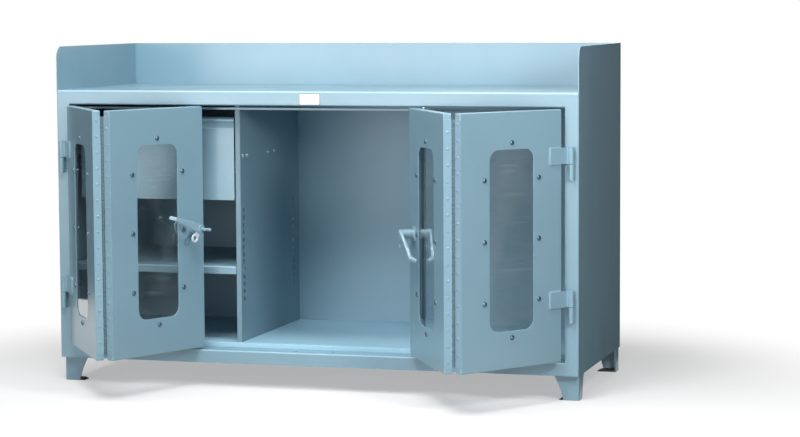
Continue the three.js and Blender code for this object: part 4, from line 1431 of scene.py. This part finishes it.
def hinge_beads(low_z, high_z):
    """Weld beads round a flap's edges on its leaf"""
    sizes = doors()
    level = sizes.hinge_proud - 0.0008
    start, end = sizes.leaf_start + 0.004, sizes.leaf_start + sizes.hinge_flap
    corners = [(start, level, high_z), (end, level, high_z), (end, level, low_z), (start, level, low_z)]
    form = Form()
    for run in zip(corners, corners[1:]):
        form.join(bead(run, 0.0034))
    return form


def foot_beads(low_z, high_z):
    """Weld beads down both sides of a barrel's foot on the stile"""
    sizes = doors()
    level = sizes.hinge_proud - 0.0008
    form = Form()
    for side in (-1, 1):
        x = side * (sizes.hinge_neck / 2 + 0.0006)
        form.join(bead([(x, level, low_z + 0.002), (x, level, high_z - 0.002)], 0.0019))
    return form


class WORKBENCH_OT_barrel_hinges(bpy.types.Operator):
    """Build the barrel hinges between the stiles and the outer leaves"""
    bl_idname = "workbench.barrel_hinges"
    bl_label = "Barrel Hinges"

    def execute(self, context):
        sizes = doors()
        for side in SIDES:
            open_pose = outer_pose(side)
            pin = open_pose.translation
            fixed_pose = axes(Vector((SIDES[side], 0, 0)), Vector((0, 1, 0)), pin)
            for place in ("upper", "lower"):
                prefix = f"{side}_{place}_hinge"
                span = (low(f"{prefix}_door").z, high(f"{prefix}_door").z)
                foot_span = (low(f"{prefix}_stile").z, low(f"{prefix}_door").z - sizes.hinge_joint)
                make(f"{prefix}_flap", hinge_leaf_form(*span), f"{side}_outer_door",
                     hinge_paint(),
                     (f"{prefix}_door",), matrix=open_pose, edge=0.0009)
                make(f"{prefix}_flap_weld", hinge_beads(*span), f"{side}_outer_door",
                     hinge_paint(), matrix=open_pose, smooth=80)
                make(f"{prefix}_barrel", hinge_stile_form(*foot_span), "cabinet",
                     hinge_paint(),
                     (f"{prefix}_stile",), matrix=fixed_pose, edge=0.0009)
                make(f"{prefix}_foot_weld", foot_beads(*foot_span), "cabinet", hinge_paint(),
                     matrix=fixed_pose, smooth=80)
        return {"FINISHED"}


def fold_hinge_form(node, half):
    """The plate of one half of a continuous hinge and the knuckles that it carries, about its pin"""
    sizes = doors()
    bottom, top = low(node).z, high(node).z
    seat = sizes.fold_gap / 2
    plate = (half * (seat - sizes.knuckle_plate), half * (seat - sizes.play))
    front = -sizes.knuckle_behind - sizes.leaf_depth
    back = -sizes.knuckle_radius - sizes.play * 3
    strip = prism([(plate[0], front), (plate[1], front), (plate[1], back), (plate[0], back)], bottom, top)
    form = Form()
    pitch = (top - bottom) / sizes.knuckle_count
    gap = sizes.knuckle_gap
    radius = sizes.knuckle_radius
    for knuckle in range(0 if half < 0 else 1, sizes.knuckle_count, 2):
        start, end = bottom + knuckle * pitch + gap, bottom + (knuckle + 1) * pitch - gap
        rim = 0.0005
        form.join(lathe([(radius - rim, start), (radius, start + rim), (radius, end - rim),
                         (radius - rim, end)], 14))
        form.join(prism([(plate[0], back), (plate[1], back), (plate[1], -radius / 2),
                         (plate[0], -radius / 2)],
                        start, end))
    tack = 0.0015
    across = half * (seat + sizes.play)
    return strip.join(bead([(across, front + tack, top), (across, back, top)], tack)), form


def rivets_form(node, half):
    """The domed rivets of one half of a continuous hinge; the two halves' rivets pass each other"""
    sizes = doors()
    rise, head = sizes.rivet_rise, sizes.rivet_radius
    rivet = lathe([(0.0004, rise), (head * 0.35, rise * 0.95), (head * 0.65, rise * 0.75),
                   (head * 0.88, rise * 0.4),
                   (head, 0.0), (head, -sizes.play)], 18)
    turned = Matrix.Rotation(-half * math.pi / 2, 4, "Y")
    shift = 0.25 if half < 0 else 0.75
    bottom, top = low(node).z, high(node).z
    middle = -sizes.knuckle_behind - sizes.leaf_depth / 2
    form = Form()
    for row in range(int((top - bottom) / sizes.rivet_pitch)):
        place = (half * (sizes.fold_gap / 2 - sizes.knuckle_plate), middle,
                 top - (row + shift) * sizes.rivet_pitch)
        form.join(rivet, Matrix.Translation(place) @ turned)
    return form


class WORKBENCH_OT_fold_hinges(bpy.types.Operator):
    """Build the continuous hinges between the leaves of each pair"""
    bl_idname = "workbench.fold_hinges"
    bl_label = "Continuous Hinges"

    def execute(self, context):
        for side in SIDES:
            pin = inner_pose(side).translation
            outer = outer_pose(side)
            poses = {"outer": (axes(outer.col[0].to_3d(), outer.col[1].to_3d(), pin), -1),
                     "inner": (inner_pose(side), 1)}
            for which, (pose, half) in poses.items():
                node = f"{side}_fold_hinge_{which}"
                strip, knuckles = fold_hinge_form(node, half)
                door = f"{side}_{which}_door"
                make(f"{node}_half", strip, door, hinge_paint(), (node,), matrix=pose)
                make(f"{node}_knuckles", knuckles, door, knuckle_shaded_paint(), matrix=pose)
                make(f"{node}_rivets", rivets_form(node, half), f"{side}_{which}_door",
                     rivet_enamel(), matrix=pose)
        return {"FINISHED"}


# Latches

def facing_front(form):
    """A form drawn about Z, turned so that Z runs out of the leaf's front"""
    return Form().join(form, Matrix.Rotation(math.pi / 2, 4, "X"))


def rose_form():
    """The plate under a lever with its turned boss"""
    sizes = latches()
    play, rise = doors().play, sizes.rose_thickness
    layers = [(0.0, play), (0.0, play + rise * 0.6), (0.0014, play + rise)]
    loops = [[(x, y, level) for x, y in rounded_rectangle(sizes.rose_width - 2 * inset,
                                                          sizes.rose_height - 2 * inset, 0.007)]
             for inset, level in layers]
    form = loft(loops)
    radius, height = sizes.boss_radius, sizes.boss_height
    form.join(lathe([(0.002, rise * 0.8), (radius + 0.002, rise * 0.8), (radius + 0.0006, rise + 0.0015),
                     (radius, rise + 0.003), (radius, height - 0.001), (radius - 0.001, height),
                     (0.002, height)], 32))
    screw = lathe([(0.0004, 0.0016), (0.0022, 0.0014), (0.0034, 0.0006), (0.0036, 0.0)], 16)
    for end in (-1, 1):
        place = Matrix.Translation((0, end * (sizes.rose_height / 2 - 0.009), play + rise - 0.0001))
        form.join(screw, place)
    return facing_front(form)


def arm_section(outer, inner, half_width):
    """A section of a lever's arm with rounded corners, between a point in front and one behind"""
    outer, inner = Vector((0, *outer)), Vector((0, *inner))
    middle, depth = (outer + inner) / 2, (outer - inner) / 2
    points = []
    steps = 24
    squareness = 0.38
    for step in range(steps):
        turn = 2 * math.pi * step / steps
        across = math.copysign(abs(math.cos(turn)) ** squareness, math.cos(turn)) * half_width
        through = math.copysign(abs(math.sin(turn)) ** squareness, math.sin(turn))
        points.append(middle + depth * through + Vector((across, 0, 0)))
    return points


def arm_form():
    """The hanging arm: round over the hub, narrowing to a sharp bend and a short flat end"""
    sizes = latches()
    hub, tip = sizes.hub_radius, sizes.tip_radius
    front, back = -sizes.hub_reach, sizes.arm_depth - sizes.hub_reach
    heel = (Vector((-sizes.heel_reach, -sizes.heel)),
            Vector((sizes.arm_depth - sizes.heel_reach, sizes.heel_slant - sizes.heel)))
    end = (Vector((-sizes.tip_reach, -sizes.arm_length)),
           Vector((sizes.tip_depth - sizes.tip_reach, sizes.tip_slant - sizes.arm_length)))
    sections = []
    for turn in (8, 25, 45, 68):
        level = hub * math.cos(math.radians(turn))
        sections.append(arm_section((front, level), (back, level), hub * math.sin(math.radians(turn))))
    root = (Vector((front, 0)), Vector((back, 0)))
    for part in (0.0, 0.3, 0.6, 0.95, 1.0):
        outer, inner = [start.lerp(stop, part) for start, stop in zip(root, heel)]
        sections.append(arm_section(outer, inner, hub + (tip - hub) * part))
    for part, width in ((0.15, 1.0), (0.85, 0.98), (0.97, 0.86), (1.0, 0.6)):
        outer, inner = [start.lerp(stop, part) for start, stop in zip(heel, end)]
        sections.append(arm_section(outer, inner, tip * width))
    return loft(sections)


def lug_form():
    """The padlock eye beside the hub"""
    sizes = latches()
    place = sizes.lug_place
    half, hole = sizes.lug_neck / 2, sizes.lug_hole
    join = math.degrees(math.asin(half / sizes.lug_radius))
    steps = 20
    round_end = arc((place, 0), sizes.lug_radius, -180 + join, 180 - join, steps)
    outside = [(0.0, -half), *round_end, (0.0, half)]
    inside = [(place + hole * math.cos(math.radians(turn)), hole * math.sin(math.radians(turn)))
              for turn in [-178 + 356 * step / (len(outside) - 1) for step in range(len(outside))]]
    thickness = sizes.lug_thickness
    chamfer = 0.0012

    def layer(level, shrink):
        rim = [((x - place) * (1 - shrink / sizes.lug_radius) + place,
                y * (1 - shrink / sizes.lug_radius), level)
               for x, y in outside]
        eye = [((x - place) * (1 + shrink / hole) + place, y * (1 + shrink / hole), level) for x, y in inside]
        return rim, eye

    rows = [layer(0.0, chamfer), layer(chamfer, 0.0), layer(thickness - chamfer, 0.0),
            layer(thickness, chamfer)]
    loops = [rim for rim, _ in rows] + [eye for _, eye in reversed(rows)]
    form = loft(loops, ring=True)
    down = Matrix.Rotation(math.pi / 2 - sizes.lug_angle, 4, "Y")
    lying = Matrix.Translation((0, -sizes.lug_reach + thickness, 0)) @ Matrix.Rotation(math.pi / 2, 4, "X")
    return Form().join(form, down @ lying)


def cam_outline():
    """A cam with two lobes that lets the rods fall evenly as the lever rises"""
    sizes = latches()
    travel = math.degrees(sizes.travel)
    fall = [travel * step / 20 for step in range(20)]
    rise = [travel + (180 - travel) * step / 8 for step in range(8)]
    points = []
    for start in (0, 180):
        for angle in fall + rise:
            part = 1 - angle / travel if angle < travel else (angle - travel) / (180 - travel)
            radius = sizes.cam_radius + sizes.cam_rise * part
            turn = math.radians(start + angle)
            points.append((-radius * math.sin(turn), radius * math.cos(turn)))
    return points


def lever_form(pinned):
    """Hub, arm, spindle and cam, with the lever hanging; the left hub carries a pin"""
    sizes = latches()
    play = doors().play
    start, reach = sizes.boss_height + play, sizes.hub_reach
    radius = sizes.hub_radius
    hub = lathe([(0.002, start), (radius - 0.001, start), (radius, start + 0.001), (radius, reach - 0.0025),
                 (radius - 0.0025, reach), (0.006, reach), (0.005, reach - 0.001),
                 (0.0004, reach - 0.001)], 32)
    form = facing_front(hub).join(arm_form())
    if pinned:
        pin, end = sizes.pin_radius, sizes.pin_reach
        form.join(facing_front(lathe([(pin, reach - 0.004), (pin, end - 0.002), (pin * 0.8, end - 0.0006),
                                      (pin * 0.4, end)], 20)))
    cam_front = doors().leaf_depth + sizes.strap_thickness + 2 * play
    cam_back = cam_front + sizes.cam_thickness
    spindle = lathe([(0.0004, -cam_back - 0.001), (sizes.spindle_radius - 0.001, -cam_back - 0.001),
                     (sizes.spindle_radius, -cam_back), (sizes.spindle_radius, start + 0.002)], 20)
    form.join(facing_front(spindle))
    outline = [(x, -z) for x, z in cam_outline()]
    cam = prism(outline, -cam_back, -cam_front)
    return form.join(cam, Matrix.Rotation(math.pi / 2, 4, "X") @ Matrix.Scale(-1, 4, (0, 1, 0)))


def strap_form():
    """The strap behind a leaf, with its folded rod guides"""
    sizes = latches()
    play = doors().play
    front = doors().leaf_depth + play
    end = LEAF_HEIGHT / 2 - doors().leaf_sheet
    outline = rounded_rectangle(sizes.strap_width, 2 * end, 0.006)
    form = prism(outline, -front - sizes.strap_thickness, -front)
    rod = front + sizes.strap_thickness + play + sizes.cam_thickness / 2
    inner, outer = sizes.rod_radius + play, sizes.rod_radius + 0.0025
    foot = -front - sizes.strap_thickness + 0.0004
    half = sizes.guide_width / 2
    arch = arc((0, -rod), outer, 0, -180, 12)
    under = arc((0, -rod), inner, -180, 0, 12)
    guide = [(outer, foot - 0.002), *arch, (-outer, foot - 0.002), (-half, foot - 0.002), (-half, foot),
             (-inner, foot), *under, (inner, foot), (half, foot), (half, foot - 0.002)]
    levels = [sizes.cam_radius + sizes.cam_rise + 0.024, end - 0.030]
    tall = sizes.guide_height / 2
    for level in [*levels, *[-level for level in levels]]:
        lying = Matrix(((1, 0, 0, 0), (0, 0, 1, level), (0, 1, 0, 0), (0, 0, 0, 1)))
        form.join(prism(guide, -tall, tall), lying)
    return facing_front(form)


def rod_form(node, spindle_z):
    """A latch rod with chamfered ends, as long as its node"""
    sizes = latches()
    bottom, top = low(node).z - spindle_z, high(node).z - spindle_z
    depth = doors().leaf_depth + sizes.strap_thickness + 2 * doors().play + sizes.cam_thickness / 2
    radius, chamfer = sizes.rod_radius, 0.002
    rod = lathe([(radius - chamfer, bottom), (radius, bottom + chamfer), (radius, top - chamfer),
                 (radius - chamfer, top)], 20)
    return Form().join(rod, Matrix.Translation((0, depth, 0)))


class WORKBENCH_OT_latches(bpy.types.Operator):
    """Build the levers, roses, straps and rods of both latches"""
    bl_idname = "workbench.latches"
    bl_label = "Latches"

    def execute(self, context):
        sizes = latches()
        for side in SIDES:
            pose = leaf_pose(side, "inner")
            pose = pose @ Matrix.Translation((doors().leaf_width - sizes.inset, 0, LEAF_HEIGHT / 2))
            spindle_z = pose.translation.z
            raised = math.radians(joint(f"{side}_handle_turn")["range_deg"][1])
            turned = pose @ Matrix.Rotation(raised, 4, "Y")
            door = f"{side}_inner_door"
            make(f"{side}_rose", rose_form(), door, cast_steel(),
                 (f"{side}_escutcheon",), matrix=pose)
            make(f"{side}_lever_arm", lever_form(side == "left"), f"{side}_handle",
                 cast_steel(),
                 (f"{side}_lever",), matrix=turned)
            # Only the left eye gets the light steel, a painted highlight; the right eye keeps the cast paint
            make(f"{side}_lever_eye", lug_form(), f"{side}_handle",
                 eye_highlight_steel() if side == "left" else cast_steel(), matrix=turned)
            # The strap's lighter enamel is painted light
            make(f"{side}_rod_strap", strap_form(), door, strap_painted_light_paint(), (f"{side}_latch_strap",),
                 matrix=pose, edge=0.0004)
            for end, bolt in (("top", "upper"), ("bottom", "lower")):
                node = f"{side}_{end}_rod"
                make(f"{node}_bar", rod_form(node, spindle_z), f"{side}_{bolt}_bolt",
                     zinc_plate(),
                     (node,), matrix=pose)
        return {"FINISHED"}


def build_welds():
    """Beads where the guards meet the back, and the slide bolts' ends on the divider"""
    radius = 0.0026
    corner = END - SHEET - radius / 2
    inside = BACK - SHEET - radius / 2
    form = Form()
    for side in (-1, 1):
        run = [(side * corner, inside, WORK_TOP + radius), (side * corner, inside, GUARD_TOP - radius)]
        form.join(bead(run, radius, pitch=0.0075, lump=0.14))
    make("guard_welds", form, "cabinet", frame_paint(), smooth=80)
    ends = Form()
    stud = lathe([(0.0004, 0.005), (0.003, 0.005), (0.004, 0.004), (0.004, 0.0015), (0.0075, 0.0014),
                  (0.0078, 0.0004), (0.0078, 0.0)], 18)
    outwards = Matrix.Rotation(math.pi / 2, 4, "Y")
    level = 0.783
    for y in (-0.050, -0.010, 0.209, 0.273):
        ends.join(stud, Matrix.Translation((DIVIDER_RIGHT, y, level)) @ outwards)
    make("slide_bolt_ends", ends, "cabinet", zinc_plate())


class WORKBENCH_OT_welds(bpy.types.Operator):
    """Add the guard welds and the slide bolts' ends"""
    bl_idname = "workbench.welds"
    bl_label = "Welds and Bolt Ends"

    def execute(self, context):
        build_welds()
        return {"FINISHED"}


# Studio

def lamp(name, place, aim, width, height, power):
    light = bpy.data.lights.new(name, "AREA")
    light.shape = "RECTANGLE"
    light.size, light.size_y = width, height
    light.energy = power
    holder = bpy.data.objects.new(name, light)
    holder.location = place
    holder.rotation_euler = (Vector(aim) - Vector(place)).to_track_quat("-Z", "Y").to_euler()
    bpy.context.scene.collection.objects.link(holder)


def build_floor_plane():
    half = 30.0
    form = Form().face((-half, -half, 0), (half, -half, 0), (half, half, 0), (-half, half, 0))
    mesh = bpy.data.meshes.new("studio_floor")
    mesh.from_pydata([tuple(corner) for corner in form.corners], [], [list(face) for face in form.faces])
    mesh.materials.append(studio_floor())
    plane = bpy.data.objects.new("studio_floor", mesh)
    bpy.context.scene.collection.objects.link(plane)


def build_cards():
    """Dark cards beyond both ends that only mirrors see, so that slanting faces keep their tone"""
    form = Form()
    height, lift = 3.4, 0.002
    near, far, front, rear = 0.96, 2.6, -1.2, 1.3
    runs = (((far, front), (far, rear)), ((far, rear), (near, rear)), ((-far, 0.2), (-far, height)))
    for (x0, y0), (x1, y1) in runs:
        form.face((x0, y0, 0.0), (x0, y0, height), (x1, y1, height), (x1, y1, 0.0))
    form.face((near, FRONT, lift), (far, FRONT, lift), (far, rear, lift), (near, rear, lift))
    mesh = bpy.data.meshes.new("dark_cards")
    mesh.from_pydata([tuple(corner) for corner in form.corners], [], [list(face) for face in form.faces])
    material, shader = new_material("dark_card")
    if shader:
        shader.output(shader.node("ShaderNodeBsdfPrincipled", {}, {
            "Base Color": (0.03, 0.035, 0.04, 1.0), "Roughness": 0.9, "Specular IOR Level": 0.0}))
    mesh.materials.append(material)
    cards = bpy.data.objects.new("dark_cards", mesh)
    cards.visible_camera = cards.visible_diffuse = cards.visible_shadow = cards.visible_transmission = False
    bpy.context.scene.collection.objects.link(cards)


def build_sky():
    """A white surround for the eye, for mirrors and through glass, and a quiet one as a light"""
    world = bpy.data.worlds.new("studio")
    world.use_nodes = True
    bpy.context.scene.world = world
    shader = Shader(world.node_tree)
    strength = studio().sky + seen_rays(shader) * (1.0 - studio().sky)
    shade = shader.node("ShaderNodeBackground", {}, {"Color": (1.0, 1.0, 1.0, 1.0), "Strength": strength})
    shader.node("ShaderNodeOutputWorld", {}, {"Surface": shade})


def build_camera():
    settings = studio()
    pan, tilt, roll = settings.camera_turn
    forward = Vector((math.sin(pan) * math.cos(tilt), math.cos(pan) * math.cos(tilt), -math.sin(tilt)))
    right = Vector((math.cos(pan), -math.sin(pan), 0))
    down = forward.cross(right)
    level_right = right * math.cos(roll) + down * math.sin(roll)
    level_down = down * math.cos(roll) - right * math.sin(roll)
    camera = bpy.data.objects.new("camera", bpy.data.cameras.new("camera"))
    camera.matrix_world = Matrix((
        (*[axis.x for axis in (level_right, -level_down, -forward)], settings.camera_place[0]),
        (*[axis.y for axis in (level_right, -level_down, -forward)], settings.camera_place[1]),
        (*[axis.z for axis in (level_right, -level_down, -forward)], settings.camera_place[2]),
        (0, 0, 0, 1)))
    camera.data.sensor_fit = "HORIZONTAL"
    camera.data.sensor_width = 36.0
    camera.data.lens = settings.lens
    camera.data.clip_end = 100.0
    bpy.context.scene.collection.objects.link(camera)
    bpy.context.scene.camera = camera


class WORKBENCH_OT_studio(bpy.types.Operator):
    """Set up the floor, the lamps, the surround and the camera"""
    bl_idname = "workbench.studio"
    bl_label = "Studio"

    def execute(self, context):
        settings = studio()
        middle = (0.0, 0.1, 0.6)
        lamp("key", (0.05, -2.6, 3.4), middle, 1.3, 1.0, settings.key)
        lamp("sheen", (-2.0, -6.2, 1.0), (0.0, 0.0, 0.9), 3.6, 1.7, settings.sheen)
        lamp("side", (2.02, -1.8, 1.5), (0.3, -0.3, 0.5), 0.4, 0.5, settings.side)
        lamp("top", (-0.3, -1.1, 3.6), (-0.1, 0.1, 0.4), 3.2, 0.7, settings.top)
        lamp("rear", (0.5, 5.5, 2.6), middle, 3.5, 2.5, settings.rear)
        build_floor_plane()
        build_cards()
        build_sky()
        build_camera()
        context.scene.view_settings.view_transform = "Standard"
        return {"FINISHED"}


STEPS = (
    WORKBENCH_OT_studio,
    WORKBENCH_OT_frame,
    WORKBENCH_OT_back,
    WORKBENCH_OT_floor,
    WORKBENCH_OT_divider,
    WORKBENCH_OT_plate,
    WORKBENCH_OT_legs,
    WORKBENCH_OT_shelf,
    WORKBENCH_OT_drawer,
    WORKBENCH_OT_leaves,
    WORKBENCH_OT_windows,
    WORKBENCH_OT_barrel_hinges,
    WORKBENCH_OT_fold_hinges,
    WORKBENCH_OT_latches,
    WORKBENCH_OT_welds,
)


class WORKBENCH_PT_panel(bpy.types.Panel):
    """Lists the steps and the sizes of the workbench"""
    bl_idname = "WORKBENCH_PT_panel"
    bl_label = "Workbench"
    bl_space_type = "VIEW_3D"
    bl_region_type = "UI"
    bl_category = "Workbench"

    def draw(self, context):
        for step in STEPS:
            self.layout.operator(step.bl_idname)
        for name in GROUPS:
            box = self.layout.box()
            settings = getattr(context.scene, name)
            for key in settings.bl_rna.properties.keys():
                if key not in {"rna_type", "name"}:
                    box.prop(settings, key)


CLASSES = (*GROUPS.values(), *STEPS, WORKBENCH_PT_panel)


def register():
    for cls in CLASSES:
        bpy.utils.register_class(cls)
    for name, group in GROUPS.items():
        setattr(bpy.types.Scene, name, PointerProperty(type=group))


def unregister():
    for name in GROUPS:
        delattr(bpy.types.Scene, name)
    for cls in reversed(CLASSES):
        bpy.utils.unregister_class(cls)


def main():
    register()
    for step in STEPS:
        space, _, action = step.bl_idname.partition(".")
        getattr(getattr(bpy.ops, space), action)()


if __name__ == "__main__":
    main()
